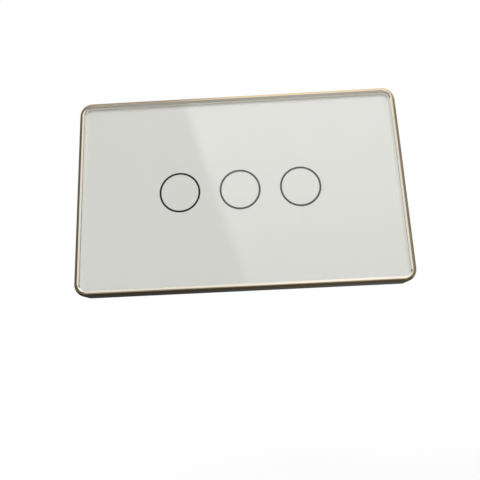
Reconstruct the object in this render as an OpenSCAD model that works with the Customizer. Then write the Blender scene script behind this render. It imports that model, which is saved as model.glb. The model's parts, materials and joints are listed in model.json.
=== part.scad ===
// Three-gang touch light switch: a glass face in a metal frame that clips on a wall base.
// Every module is drawn on the bench, face up: x to the right, y up the plate, z out of the wall.
// The wall plane is z = 0, at the middle of the two wall screws. mounted() stands the part upright.

/* [Plate] */
// Width of the plate
plate_w = 118; // [112:0.5:130]
// Height of the plate
plate_h = 72; // [69:0.5:84]
// Outer corner radius of the metal frame
corner_r = 4.5; // [4:0.1:6]

/* [Metal frame] */
// Thickness of the frame's side wall, which is the rim's width from the front
frame_wall = 2; // [1.7:0.1:2.3]
// Radius of the rounded outer shoulder
shoulder_r = 1.1; // [0.6:0.05:1.2]
// Distance from the outer side to the start of the rim's inner bevel
crest_in = 1.2; // [1.2:0.05:1.5]
// Depth of the rim's inner bevel, which slopes down to the glass
rim_bevel_t = 0.45; // [0.2:0.05:0.5]
// How far the rim stands in front of the glass
rim_proud = 0.5; // [0.3:0.1:1]
// Thickness of the ledge inside the frame
ledge_t = 1.2; // [1.1:0.1:1.8]
// Reach of the ledge inwards from the side wall
ledge_reach = 4; // [3.8:0.1:4.6]
// Diameter of the small countersunk screws of the frame
frame_screw_d = 2; // [1.6:0.1:2.2]

/* [Glass face] */
// Thickness of the glass
glass_t = 3; // [2:0.1:5]
// Gap around the glass in the frame
glass_gap = 0.1; // [0.05:0.05:0.2]
// Width of the ground edge around the glass
glass_bevel_w = 0.1; // [0.1:0.05:0.6]
// Depth of the ground edge
glass_bevel_t = 0.1; // [0.1:0.05:0.6]
// Thickness of the white print behind the glass
print_t = 0.2; // [0.1:0.05:0.4]
// Middle diameter of a touch ring
ring_d = 14.2; // [12:0.1:15]
// Line width of a touch ring
ring_line = 0.7; // [0.4:0.1:1]
// Distance between neighbouring touch rings
ring_pitch = 21.9; // [20:0.1:23]

/* [Carrier] */
// Thickness of the adhesive gasket
gasket_t = 0.6; // [0.4:0.1:1]
// Width of the adhesive gasket
gasket_w = 4; // [3:0.5:5]
// Thickness of the carrier behind the glass
carrier_t = 2; // [1.6:0.1:3]
// Width of the carrier's border
carrier_w = 7; // [6:0.1:7.4]
// Width of a snap finger
finger_w = 10; // [6:0.5:14]
// Thickness of a snap finger
finger_t = 1.4; // [1:0.1:1.8]
// Distance between the two fingers of one long side
finger_pitch = 44; // [36:1:48]

/* [Wall base] */
// Thickness of the base's flange on the wall
base_t = 1.6; // [1.4:0.1:2.4]
// How far the flange lies inside the plate's outline
base_inset = 1; // [0.5:0.1:2]
// Shadow gap between flange and face
face_gap = 0.4; // [0.3:0.1:0.8]
// Distance between the two wall screws
mount_pitch = 83.5; // [83:0.1:85]
// Width of a wall screw slot
mount_slot_w = 4.2; // [3.8:0.1:5]
// Length of a wall screw slot
mount_slot_l = 8.2; // [7:0.1:9]
// Extra thickness of the pad around a slot
mount_pad_t = 0.8; // [0.4:0.1:1.2]
// Wall thickness of the box behind the plate
box_wall = 1.6; // [1.4:0.1:2]
// Outer corner radius of the box
box_r = 3; // [2.5:0.1:4]
// Floor thickness of the rear housing
floor_t = 1.8; // [1.5:0.1:2.5]
// Height that the tub stands in front of the flange
tub_rise = 2.1; // [1.8:0.1:2.4]
// Thickness of the ledge under the touch board
tub_ledge_t = 1.8; // [1.5:0.1:2.4]
// Shank diameter of the housing screws
case_screw_d = 2.5; // [2.2:0.1:2.6]
// Length of the housing screws under the head
case_screw_l = 10; // [8:0.5:12]

/* [Touch board] */
// Thickness of the touch board
touch_board_t = 1.2; // [1:0.1:1.6]
// Length of a touch spring
spring_l = 5.7; // [5:0.1:6.2]
// Wire diameter of a touch spring
spring_wire = 0.6; // [0.5:0.05:0.65]
// Mean radius of a touch spring
spring_r = 4.4; // [3.6:0.1:4.6]
// Wall thickness of a light guide
guide_wall = 1.2; // [1:0.1:1.4]

/* [Power board] */
// Distance between the two boards
board_room = 7.8; // [7.6:0.1:10]
// Thickness of the power board
power_board_t = 1.6; // [1.2:0.1:2]
// Length of a relay
relay_l = 17.6; // [17:0.1:20]
// Width of a relay
relay_w = 10.1; // [9.8:0.1:12]
// Height of a relay
relay_h = 12.3; // [12.2:0.1:15]
// Distance between neighbouring relays
relay_pitch = 14; // [13:0.1:16]
// Depth of the row of tall parts
aux_d = 12; // [11:0.1:14]

/* [Terminals] */
// Distance between neighbouring terminals
pole_pitch = 7.6; // [7.5:0.1:9]
// Depth of a terminal from its wire entry
pole_d = 10.5; // [10.4:0.1:12]
// Height of a terminal
pole_h = 12; // [12:0.1:13]
// Diameter of a wire entry
wire_d = 3.8; // [3:0.1:3.8]
// Thread diameter of a terminal screw
clamp_screw_d = 3; // [2.5:0.1:3.2]

/* [Hidden] */
$fn = 64;
SIDES = ["left", "middle", "right"];
POLES = [1, 2, 3, 4];
eps = 1; // overshoot of cutting tools

// Heights of the layers from the wall to the rim
z_face = base_t + face_gap;
z_ledge = z_face + ledge_t;
z_carrier = z_ledge + carrier_t;
z_print = z_carrier + gasket_t;
z_glass = z_print + print_t;
z_front = z_glass + glass_t;
z_crest = z_front + rim_proud;

// Outline of the face
rim_w = plate_w - 2 * frame_wall;
rim_h = plate_h - 2 * frame_wall;
rim_r = corner_r - frame_wall;
glass_w = rim_w - 2 * glass_gap;
glass_h = rim_h - 2 * glass_gap;
glass_r = rim_r - glass_gap;
mouth_w = rim_w - 2 * ledge_reach;
mouth_h = rim_h - 2 * ledge_reach;
mouth_r = 1.5;
carrier_gap = 0.15;
least_r = 0.4;
carrier_out_w = rim_w - 2 * carrier_gap;
carrier_out_h = rim_h - 2 * carrier_gap;
carrier_in_h = carrier_out_h - 2 * carrier_w;
gasket_inset = 0.6;
ring_ri = (ring_d - ring_line) / 2;
ring_ro = (ring_d + ring_line) / 2;
ring_gap = 0.02;
frame_screw_at = frame_wall + ledge_reach / 2;
frame_screw_x = 32;
frame_screw_head_r = frame_screw_d * 0.9;
frame_screw_cone = 0.9;
frame_screw_recess = 0.5;
frame_screw_gap = 0.03;

// The box behind the plate is sized by what it holds
guide_ro = (ring_d + guide_wall) / 2;
guide_ri = (ring_d - guide_wall) / 2;
side_margin = 3;
row_gap = 1.2;
entry_recess = 0.3;
inner_w = 2 * (ring_pitch + guide_ro + side_margin);
module_w = inner_w + 2 * box_wall;
module_h = entry_recess + pole_d + row_gap + relay_l + row_gap + aux_d + row_gap + box_wall;
inner_h = module_h - 2 * box_wall;
inner_r = box_r - box_wall;

// Heights of the boards and the box
touch_gap = 0.1;
z_touch = z_print - touch_gap - spring_l;
z_touch_back = z_touch - touch_board_t;
z_joint = z_touch_back - tub_ledge_t;
z_power = z_touch_back - board_room;
z_power_back = z_power - power_board_t;
floor_gap = 1.3;
z_floor = z_power_back - max(relay_h, pole_h) - floor_gap;
z_back = z_floor - floor_t;
z_tub = base_t + tub_rise;

// Screws of the housing, in columns at the corners of the box
column = 5.6;
column_step = 1.2;
column_x = (inner_w - column) / 2;
column_y = (inner_h - column) / 2;
case_screw_head_r = 2.2;
case_screw_head_h = 1.4;
case_screw_gap = 0.03;
free_fit = 0.2;
case_hole_r = case_screw_d / 2 + free_fit;
pilot_spare = 1;
pilot_depth = case_screw_l - tub_ledge_t + pilot_spare;
board_gap = 0.4;
board_notch = column + 2 * board_gap;
tub_ledge_w = 1.8;
tub_hole_w = inner_w - 2 * tub_ledge_w;
tub_hole_h = inner_h - 2 * tub_ledge_w;

// Screws of the boards
board_screw_d = 2;
board_screw_head_r = 1.8;
board_screw_head_h = 1.1;
board_screw_l = 4;
board_boss = 5;
board_hole_r = board_screw_d / 2 + free_fit;
screw_tip_gap = 0.4;
touch_screw_x = inner_w / 2 - board_boss / 2;
touch_screw_y = inner_h / 4;
power_screw_x = inner_w / 2 - board_boss / 2;

// Snap fingers and the ridges that they pass
finger_gap = 0.6;
finger_lift = 0.2;
barb_reach = 0.25;
barb_h = 0.7;
ridge_reach = 0.3;
ridge_h = 0.7;
ridge_gap = 0.2;
ridge_side = 0.5;
finger_y = module_h / 2 + finger_gap;
lip_gap = 0.4;
lip_t = 1.4;
lip_w = mouth_w - 2 * lip_gap;
lip_h = mouth_h - 2 * lip_gap;
lip_clear = 0.2;

// Pads around the wall screw slots
pad_end = 2.5;
pad_side = 3.5;
pad_r = 2;
pad_l = mount_slot_l + 2 * pad_end;
pad_w = mount_slot_w + 2 * pad_side;

// Touch board parts
led_l = 2;
led_d = 1.2;
led_h = 0.9;
led_room = 0.3;
guide_clear = 0.3;
spring_turns = 4;
spring_steps = 12;
spring_sides = 6;
spring_curl = 0.8;
spring_draw = 2.4;
header_n = 6;
header_pitch = 2.54;
header_body = 2.5;
header_pin = 0.64;
header_hole_r = 0.5;
header_in = 6;
header_y = inner_h / 2 - header_in;
pin_lift = 0.6;
pin_stub = 1;
socket_gap = 0.3;
socket_slack = 0.1;
socket_floor = 0.4;
socket_h = board_room - header_body - socket_gap;
chip_in = 7;
chip_x = -4;
chip_y = -inner_h / 2 + chip_in;
chip_lift = 0.15;
chip_leg = 0.4;
chip_foot = 1.2;
touch_chip = [9.9, 3.9, 1.5];
touch_chip_pitch = 1.27;
passive_l = 2;
passive_w = 1.25;
passive_h = 0.6;
passive_x = 5;
passive_pitch = 3.4;
passive_gap = 1;

// Rows on the power board, from the wire entries upwards
entry_y = -module_h / 2 + entry_recess;
relay_y = entry_y + pole_d + row_gap + relay_l / 2;
aux_y = relay_y + relay_l / 2 + row_gap + aux_d / 2;
label_shift = 5;
label_y = relay_y + label_shift;
pin_gap = 0.15;

// Relay, from its base upwards
case_wall = 0.5;
case_gap = 0.05;
relay_base_t = 1.6;
yoke_t = 1;
yoke_w = 6;
yoke_in = 0.9;
yoke_rim = 1.5;
yoke_y = -relay_l / 2 + case_wall + yoke_in;
core_r = 1.4;
pole_head_r = 2.6;
pole_head_t = 0.8;
armature_t = 0.9;
armature_gap = 0.5;
armature_tail = 0.3;
blade_t = 0.3;
blade_w = 3;
blade_room = 0.8;
z_blade = relay_h - case_wall - blade_room - blade_t;
z_armature = z_blade - armature_t;
z_pole = z_armature - armature_gap;
pivot_r = yoke_t / 2;
pivot_bite = 0.2;
z_pivot = z_armature + pivot_bite - pivot_r;
pivot_gap = 0.05;
pivot_y = yoke_y + yoke_t / 2;
bobbin_r = 4.1;
coil_room = 0.4;
coil_y = yoke_y + yoke_t + coil_room + bobbin_r;
bobbin_t = 0.6;
bobbin_gap = 0.1;
bobbin_wall = 0.8;
winding_gap = 0.05;
winding_r = 3.7;
rivet_r = 1;
rivet_h = 0.4;
rivet_head = 0.3;
post_t = 0.8;
contact_in = 1.9;
contact_y = relay_l / 2 - case_wall - contact_in;
contact_drop = 0.66;
pin_r = 0.5;
pin_l = 3.2;
coil_pin_x = 3.4;
coil_pin_gap = 0.9;
coil_pin_h = 1.5;
coil_pin_y = coil_y + bobbin_r + coil_pin_gap;

// Supply parts on the power board: a row between the columns, and three parts on its front face
core_leg = 3;
core_window_w = 3;
core_window_h = 5.4;
core_d = 5;
core_h = 11;
core_gap = 0.1;
core_w = 2 * core_leg + 2 * core_window_w;
film_w = 13;
film_d = 5;
film_h = 10.5;
can_r = 4;
can_h = 11;
can_gap = 1;
supply_margin = 1.6;
supply_end = column_x - column / 2 - column_step - supply_margin;
transformer_x = core_w / 2 - supply_end;
storage_x = [for (k = [0, 1]) supply_end - can_r - k * (2 * can_r + can_gap)];
film_x = (transformer_x + core_w / 2 + storage_x[1] - can_r) / 2;
supply_y = relay_y + (pivot_y + coil_pin_y) / 2;
fuse_shift = 2;
fuse_x = -relay_pitch - fuse_shift;
fuse_l = 10;
fuse_cap_l = 2;
fuse_cap_r = 1.9;
fuse_step = 0.3;
varistor_r = 3.4;
varistor_h = 3.4;
rectifier = [4.7, 3.9, 1.6];
rectifier_pitch = 2.5;

// Terminal, from the board to the screw face
pole_gap = 0.1;
recess_gap = 0.2;
entry_wall = 2.6;
cage_w = 5.4;
cage_d = 5.4;
cage_wall = 0.8;
cage_floor = 1;
cage_gap = 0.2;
clamp_travel = 2;
wire_h = 4.2;
tongue_w = 3.4;
tongue_t = 0.8;
wire_spare = 0.1;
tongue_gap = 0.2;
head_gap = 0.1;
h_cage = wire_h - wire_d / 2 - wire_spare - cage_floor;
h_tongue = wire_h + wire_d / 2 + wire_spare;
h_cage_top = h_tongue + tongue_t + tongue_gap;
h_head = h_cage_top + cage_floor + clamp_travel + head_gap;
screw_head_r = 2;
screw_head_h = 1.6;
screw_gap = 0.05;
screw_root = 0.5;
screw_slot_w = 0.6;
screw_slot_t = 0.8;
screw_y = entry_wall + cage_gap + cage_d / 2;
leg_gap = 0.3;
leg_y = entry_wall + cage_gap + cage_d + leg_gap;
leg_t = 0.8;
leg_root = 0.2;
cavity_d = leg_y + leg_t + cage_gap - entry_wall;
cavity_h = h_head - h_cage + cage_gap;

gold = "#c8a878";
white = "#efeee8";
ivory = "#e4e2da";
board_green = "#2f6b46";
steel = "#b9bcc0";
tin = "#c9ccd0";
brass = "#c9a24a";
copper = "#b4683a";
black = "#26282a";
relay_blue = "#2d5f9e";
amber = "#c98a2e";

// Shapes that repeat

// Stands the bench drawing upright: the front looks along -Y and the plate's top is +Z.
module mounted() {
    rotate([90, 0, 0]) children();
}

// A box from its middle in x and y, between two heights.
module block(w, d, z0, z1) {
    translate([-w / 2, -d / 2, z0]) cube([w, d, z1 - z0]);
}

module rounded_rect(w, h, r) {
    square([w - 2 * r, h], center = true);
    square([w, h - 2 * r], center = true);
    for (sx = [-1, 1], sy = [-1, 1])
        translate([sx * (w / 2 - r), sy * (h / 2 - r)]) circle(r);
}

module slab(w, h, r, z0, z1) {
    translate([0, 0, z0]) linear_extrude(z1 - z0) rounded_rect(w, h, r);
}

module ring_slab(w, h, r, wall, z0, z1) {
    difference() {
        slab(w, h, r, z0, z1);
        slab(w - 2 * wall, h - 2 * wall, max(r - wall, least_r), z0 - eps, z1 + eps);
    }
}

module tube(ro, ri, z0, z1) {
    translate([0, 0, z0]) difference() {
        cylinder(r = ro, h = z1 - z0);
        translate([0, 0, -eps]) cylinder(r = ri, h = z1 - z0 + 2 * eps);
    }
}

module rod(r, z0, z1) {
    translate([0, 0, z0]) cylinder(r = r, h = z1 - z0);
}

// A slot along x with round ends.
module slot(w, l, z0, z1) {
    translate([0, 0, z0]) linear_extrude(z1 - z0) {
        square([l - w, w], center = true);
        for (s = [-1, 1]) translate([s * (l - w) / 2, 0]) circle(w / 2);
    }
}

module at_corners(x, y) {
    for (sx = [-1, 1], sy = [-1, 1]) translate([sx * x, sy * y, 0]) children();
}

// Carries an outline drawn as (distance inwards, height) around a rounded rectangle.
module rim_sweep(w, h, r) {
    for (turn = [0, 180]) rotate(turn) rim_side(w - 2 * r, h) children();
    for (turn = [90, 270]) rotate(turn) rim_side(h - 2 * r, w) children();
    for (k = [0:3]) {
        sx = k == 0 || k == 3 ? 1 : -1;
        sy = k < 2 ? 1 : -1;
        translate([sx * (w / 2 - r), sy * (h / 2 - r), 0]) rotate(90 * k)
            rotate_extrude(angle = 90) translate([r, 0]) mirror([1, 0]) children();
    }
}

module rim_side(length, across) {
    translate([-length / 2, -across / 2, 0]) rotate([90, 0, 90]) linear_extrude(length) children();
}

// A rounded plate whose front edge is bevelled all round: a swept border, and a core that reaches into it.
module bevelled_slab(w, h, r, z0, z1, bevel_w, bevel_t) {
    border = (r + bevel_w) / 2;
    core = (border + bevel_w) / 2;
    rim_sweep(w, h, r) polygon([[0, z0], [border, z0], [border, z1], [bevel_w, z1], [0, z1 - bevel_t]]);
    slab(w - 2 * core, h - 2 * core, r - core, z0, z1);
}

// The plus-shaped recess of a screw head, cut downwards from z.
module cross_recess(size, depth, z) {
    for (turn = [0, 90]) rotate(turn) block(size, size / 4, z - depth, z + eps);
}

module at_rings(i) {
    translate([(i - 1) * ring_pitch, 0, 0]) children();
}

// The face: frame, glass, print and carrier

module rim_profile() {
    translate([0, z_face]) square([shoulder_r, z_crest - shoulder_r - z_face]);
    intersection() {
        translate([shoulder_r, z_crest - shoulder_r]) circle(shoulder_r);
        translate([0, z_crest - shoulder_r]) square(shoulder_r);
    }
    polygon([
        [shoulder_r, z_face],
        [frame_wall, z_face],
        [frame_wall, z_crest - rim_bevel_t],
        [crest_in, z_crest],
        [shoulder_r, z_crest]
    ]);
}

module at_frame_screws() {
    at_corners(frame_screw_x, plate_h / 2 - frame_screw_at) children();
    for (s = [-1, 1]) translate([s * (plate_w / 2 - frame_screw_at), 0, 0]) children();
}

// A countersunk screw, or its hole when it is drawn with a gap.
module frame_screw(gap, z_tip) {
    rod(frame_screw_d / 2 + gap, z_face, z_tip);
    translate([0, 0, z_face])
        cylinder(r1 = frame_screw_head_r + gap, r2 = frame_screw_d / 2 + gap, h = frame_screw_cone);
}

module gold_frame() {
    color(gold) difference() {
        union() {
            rim_sweep(plate_w, plate_h, corner_r) rim_profile();
            difference() {
                slab(plate_w - frame_wall, plate_h - frame_wall, corner_r - frame_wall / 2, z_face, z_ledge);
                slab(mouth_w, mouth_h, mouth_r, z_face - eps, z_ledge + eps);
            }
        }
        at_frame_screws() frame_screw(frame_screw_gap, z_ledge + eps);
    }
}

module glass_panel() {
    color([0.86, 0.92, 0.9, 0.4])
        bevelled_slab(glass_w, glass_h, glass_r, z_glass, z_front, glass_bevel_w, glass_bevel_t);
}

module white_print() {
    color(white) {
        difference() {
            slab(glass_w, glass_h, glass_r, z_print, z_glass);
            for (i = [0:2]) at_rings(i) rod(ring_ro + ring_gap, z_print - eps, z_glass + eps);
        }
        for (i = [0:2]) at_rings(i) rod(ring_ri - ring_gap, z_print, z_glass);
    }
}

module touch_ring(i) {
    color("#4a4d4c") at_rings(i) tube(ring_ro, ring_ri, z_print, z_glass);
}

module adhesive_gasket() {
    w = glass_w - 2 * gasket_inset;
    h = glass_h - 2 * gasket_inset;
    color("#3a3c3e") ring_slab(w, h, glass_r - gasket_inset, gasket_w, z_carrier, z_print);
}

module snap_finger() {
    reach = carrier_in_h / 2 - finger_y;
    translate([-finger_w / 2, finger_y, z_ledge]) cube([finger_w, reach + eps, carrier_t]);
    translate([-finger_w / 2, finger_y, base_t + finger_lift])
        cube([finger_w, finger_t, z_carrier - base_t - finger_lift]);
    translate([-finger_w / 2, finger_y - barb_reach, base_t + finger_lift])
        cube([finger_w, barb_reach + finger_t / 2, barb_h]);
}

module glass_carrier() {
    color(ivory) difference() {
        union() {
            ring_slab(carrier_out_w, carrier_out_h, rim_r - carrier_gap, carrier_w, z_ledge, z_carrier);
            for (s = [-1, 1], turn = [0, 180])
                rotate(turn) translate([s * finger_pitch / 2, 0, 0]) snap_finger();
        }
        at_frame_screws()
            rod(frame_screw_d / 2 + frame_screw_gap, z_ledge - eps, z_carrier - screw_tip_gap / 2);
    }
}

module frame_screws() {
    color(steel) at_frame_screws() difference() {
        frame_screw(0, z_carrier - screw_tip_gap);
        mirror([0, 0, 1]) cross_recess(frame_screw_head_r * 1.3, frame_screw_recess, -z_face);
    }
}

// The wall base and its rear housing

module mount_slots(z0, z1) {
    for (s = [-1, 1]) translate([s * mount_pitch / 2, 0, 0]) slot(mount_slot_w, mount_slot_l, z0, z1);
}

module snap_ridge() {
    z_ridge = base_t + finger_lift + barb_h + ridge_gap;
    translate([-finger_w / 2 - ridge_side, module_h / 2 - box_wall / 2, z_ridge])
        cube([finger_w + 2 * ridge_side, box_wall / 2 + ridge_reach, ridge_h]);
}

module base_frame() {
    flange_w = plate_w - 2 * base_inset;
    flange_h = plate_h - 2 * base_inset;
    pry_w = 10;
    pry_d = 2.5;
    color(white) difference() {
        union() {
            slab(flange_w, flange_h, corner_r - base_inset, 0, base_t);
            ring_slab(lip_w, lip_h, mouth_r, lip_t, base_t / 2, z_ledge - lip_clear);
            for (s = [-1, 1]) translate([s * mount_pitch / 2, 0, 0])
                slab(pad_l, pad_w, pad_r, base_t / 2, base_t + mount_pad_t);
            slab(module_w, module_h, box_r, z_joint, z_tub);
            for (s = [-1, 1], turn = [0, 180])
                rotate(turn) translate([s * finger_pitch / 2, 0, 0]) snap_ridge();
        }
        slab(inner_w, inner_h, inner_r, z_touch_back, z_tub + eps);
        difference() {
            slab(tub_hole_w, tub_hole_h, inner_r, z_joint - eps, z_touch_back + eps);
            at_corners(column_x, column_y) block(column + eps, column + eps, z_joint - 2 * eps, z_touch_back);
            at_touch_screws() block(board_boss, board_boss, z_joint - 2 * eps, z_touch_back);
        }
        at_corners(column_x, column_y) rod(case_hole_r, z_joint - eps, z_touch_back + eps);
        at_touch_screws() rod(board_screw_d / 2 + case_screw_gap, z_joint - eps, z_tub);
        mount_slots(-eps, base_t + mount_pad_t + eps);
        translate([-pry_w / 2, -flange_h / 2 - eps, base_t / 2]) cube([pry_w, pry_d + eps, base_t]);
    }
}

module column_block() {
    foot = column + column_step;
    shift = column_step / 2;
    translate([-shift, -shift, 0]) block(foot + eps, foot + eps, z_floor - floor_t / 2, z_power_back);
    block(column + eps / 2, column + eps / 2, z_power_back - eps, z_joint);
}

module power_boss() {
    block(board_boss, board_boss, z_floor - floor_t / 2, z_power_back);
}

module at_touch_screws() {
    at_corners(touch_screw_x, touch_screw_y) children();
}

module at_power_screws() {
    for (s = [-1, 1]) translate([s * power_screw_x, relay_y, 0]) children();
}

module rear_vents() {
    vent_w = 1.4;
    vent_l = 11;
    vent_pitch = 3;
    vent_x = 20.5;
    for (s = [-1, 1], k = [-2:2])
        translate([s * vent_x + k * vent_pitch, label_y, 0]) rotate(90)
            slot(vent_w, vent_l, z_back - eps, z_floor + eps);
}

module rear_housing() {
    block_w = len(POLES) * pole_pitch + 2 * recess_gap;
    cut_d = entry_recess + pole_d + recess_gap;
    label_w = 24;
    label_h = 13;
    label_r = 1;
    label_depth = 0.3;
    color(white) difference() {
        union() {
            difference() {
                slab(module_w, module_h, box_r, z_back, z_joint);
                slab(inner_w, inner_h, inner_r, z_floor, z_joint + eps);
            }
            intersection() {
                slab(module_w - box_wall, module_h - box_wall, inner_r + box_wall / 2, z_back, z_joint);
                union() {
                    for (sx = [0, 1], sy = [0, 1]) mirror([sx, 0, 0]) mirror([0, sy, 0])
                        translate([column_x, column_y, 0]) column_block();
                    at_power_screws() power_boss();
                }
            }
        }
        at_corners(column_x, column_y)
            rod(case_screw_d / 2 + case_screw_gap, z_joint - pilot_depth, z_joint + eps);
        at_power_screws()
            rod(board_screw_d / 2 + case_screw_gap, z_power_back - board_screw_l, z_power_back + eps);
        translate([-block_w / 2, -module_h / 2 - eps, z_back - eps])
            cube([block_w, cut_d + eps, z_power_back - z_back + eps + pin_gap]);
        rear_vents();
        translate([0, label_y, 0]) slab(label_w, label_h, label_r, z_back - eps, z_back + label_depth);
    }
}

module pan_screw(r, l, head_r, head_h, z) {
    difference() {
        union() {
            rod(r, z - l, z + head_h / 2);
            rod(head_r, z, z + head_h);
        }
        cross_recess(head_r * 1.2, head_h * 0.6, z + head_h);
    }
}

module housing_screws() {
    color(steel) at_corners(column_x, column_y)
        pan_screw(case_screw_d / 2, case_screw_l, case_screw_head_r, case_screw_head_h, z_touch_back);
}

module board_screw(l, z) {
    pan_screw(board_screw_d / 2, l, board_screw_head_r, board_screw_head_h, z);
}

module board_screws() {
    color(steel) {
        at_touch_screws() board_screw(touch_board_t + tub_ledge_t - screw_tip_gap, z_touch);
        at_power_screws() board_screw(power_board_t + board_screw_l - screw_tip_gap, z_power);
    }
}

// The touch board and what stands on it

module board_outline(z0, z1) {
    difference() {
        slab(inner_w - 2 * board_gap, inner_h - 2 * board_gap, max(inner_r - board_gap, least_r), z0, z1);
        at_corners(column_x, column_y) block(board_notch, board_notch, z0 - eps, z1 + eps);
    }
}

module at_header() {
    for (k = [0:header_n - 1])
        translate([(k - (header_n - 1) / 2) * header_pitch, header_y, 0]) children();
}

module touch_board() {
    color(board_green) difference() {
        board_outline(z_touch_back, z_touch);
        at_touch_screws() rod(board_hole_r, z_touch_back - eps, z_touch + eps);
        at_header() rod(header_hole_r, z_touch_back - eps, z_touch + eps);
    }
}

// A touch spring winds up from a flat foot to a flat top, and both ends curl inwards.
function spring_past(turn) = max(-turn, turn - spring_turns, 0);
function spring_radius(turn) = spring_r - spring_past(turn) * spring_draw;
function spring_height(turn) =
    min(max(turn / spring_turns, 0), 1) * (spring_l - 2 * spring_flat);
function spring_point(turn) =
    [spring_radius(turn) * cos(360 * turn), spring_radius(turn) * sin(360 * turn), spring_height(turn)];
function spring_ring(turn) = [
    for (k = [0:spring_sides - 1])
        let (a = 360 / spring_sides * k, out = spring_wire / 2 * cos(a))
            spring_point(turn) + [out * cos(360 * turn), out * sin(360 * turn), spring_wire / 2 * sin(a)]
];
spring_flat = spring_wire / 2 * cos(180 / spring_sides);
spring_all = spring_turns + 2 * spring_curl;
spring_count = round(spring_all * spring_steps);
spring_list = [for (k = [0:spring_count]) k * spring_all / spring_count - spring_curl];
spring_least_gap = min([
    for (i = [0:spring_count], j = [0:spring_count])
        if (j - i > spring_steps / 2) norm(spring_point(spring_list[i]) - spring_point(spring_list[j]))
]) - spring_wire;
echo(spring_least_gap = spring_least_gap);

module touch_spring(i) {
    points = [for (turn = spring_list) each spring_ring(turn)];
    last = spring_count * spring_sides;
    walls = [
        for (j = [0:spring_count - 1], k = [0:spring_sides - 1])
            let (a = j * spring_sides + k, b = j * spring_sides + (k + 1) % spring_sides)
                each [[a, a + spring_sides, b], [b, a + spring_sides, b + spring_sides]]
    ];
    foot_cap = [for (k = [1:spring_sides - 2]) [0, k, k + 1]];
    top_cap = [for (k = [1:spring_sides - 2]) [last, last + k + 1, last + k]];
    color(steel) at_rings(i) translate([0, 0, z_touch + spring_flat])
        polyhedron(points, concat(foot_cap, walls, top_cap));
}

module at_leds() {
    for (s = [-1, 1]) translate([0, s * ring_d / 2, 0]) children();
}

module light_guide(i) {
    color("#f4f6f6") at_rings(i) difference() {
        tube(guide_ro, guide_ri, z_touch, z_print - guide_clear);
        at_leds()
            block(led_l + 2 * led_room, guide_wall + 2 * eps, z_touch - eps, z_touch + led_h + led_room);
    }
}

module indicator_leds() {
    color("#f2e9b8") for (i = [0:2]) at_rings(i) at_leds() block(led_l, led_d, z_touch, z_touch + led_h);
}

// A chip with gull-wing legs along its two long sides.
module chip(size, legs, pitch) {
    block(size[0], size[1], chip_lift, size[2]);
    for (k = [0:legs - 1], s = [-1, 1])
        translate([(k - (legs - 1) / 2) * pitch, s * (size[1] / 2 + chip_foot / 3), 0]) {
            block(chip_leg, chip_foot, 0, chip_leg / 2);
            translate([0, -s * chip_foot / 4, 0]) block(chip_leg, chip_foot / 2, 0, size[2] / 2);
        }
}

module passive() {
    block(passive_l, passive_w, 0, passive_h);
}

module touch_board_chips() {
    color(black) translate([0, 0, z_touch]) {
        translate([chip_x, chip_y, 0]) chip(touch_chip, 8, touch_chip_pitch);
        for (k = [0:4], s = [-1, 1])
            translate([passive_x + k * passive_pitch, chip_y + s * passive_w, 0]) passive();
        for (i = [0:2]) at_rings(i) translate([0, guide_ro + passive_w + passive_gap, 0]) passive();
    }
}

module header_pins() {
    color(black) translate([0, header_y, 0])
        block(header_n * header_pitch, header_body, z_touch_back - header_body, z_touch_back);
    color(brass) at_header() block(header_pin, header_pin, z_power + pin_lift, z_touch + pin_stub);
}

module header_socket() {
    slot_w = header_pin + 2 * socket_slack;
    color(black) difference() {
        translate([0, header_y, 0]) block(header_n * header_pitch, header_body, z_power, z_power + socket_h);
        at_header() block(slot_w, slot_w, z_power + socket_floor, z_power + socket_h + eps);
    }
}

// The power board, seen from the back: relays, supply and terminals stand on its rear face

module on_power_back(x, y) {
    translate([x, y, z_power_back]) mirror([0, 0, 1]) children();
}

module at_relay(i) {
    on_power_back((i - 1) * relay_pitch, relay_y) children();
}

module at_relay_pins() {
    translate([0, contact_y, 0]) children();
    translate([0, pivot_y, 0]) children();
    for (s = [-1, 1]) translate([s * coil_pin_x, coil_pin_y, 0]) children();
}

module at_pole(p) {
    on_power_back((p - (len(POLES) + 1) / 2) * pole_pitch, entry_y) children();
}

module power_board() {
    drill = power_board_t + 2 * eps;
    color(board_green) difference() {
        board_outline(z_power_back, z_power);
        at_power_screws() rod(board_hole_r, z_power_back - eps, z_power + eps);
        for (i = [0:2]) at_relay(i) at_relay_pins() rod(pin_r + pin_gap, -drill, eps);
        for (p = POLES) at_pole(p) translate([0, leg_y + leg_t / 2, 0]) rod(pin_r + pin_gap, -drill, eps);
    }
}

module relay_base(i) {
    inside = case_wall + case_gap;
    color(black) at_relay(i) difference() {
        block(relay_w - 2 * inside, relay_l - 2 * inside, 0, relay_base_t);
        at_relay_pins() rod(pin_r + case_gap, -eps, relay_base_t + eps);
    }
}

module relay_case(i) {
    color(relay_blue) at_relay(i) difference() {
        block(relay_w, relay_l, 0, relay_h);
        block(relay_w - 2 * case_wall, relay_l - 2 * case_wall, -eps, relay_h - case_wall);
    }
}

// The yoke's foot carries the core, and its upright ends in the round edge that the armature rocks on.
module relay_yokes() {
    foot_end = coil_y + core_r + yoke_rim;
    color(steel) for (i = [0:2]) at_relay(i) difference() {
        union() {
            translate([-yoke_w / 2, yoke_y, relay_base_t]) cube([yoke_w, foot_end - yoke_y, yoke_t]);
            translate([-yoke_w / 2, yoke_y, relay_base_t]) cube([yoke_w, yoke_t, z_pivot - relay_base_t]);
            translate([-yoke_w / 2, pivot_y, z_pivot]) rotate([0, 90, 0]) cylinder(r = pivot_r, h = yoke_w);
        }
        translate([0, coil_y, 0]) rod(core_r + case_gap, 0, relay_base_t + yoke_t + eps);
    }
}

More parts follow.
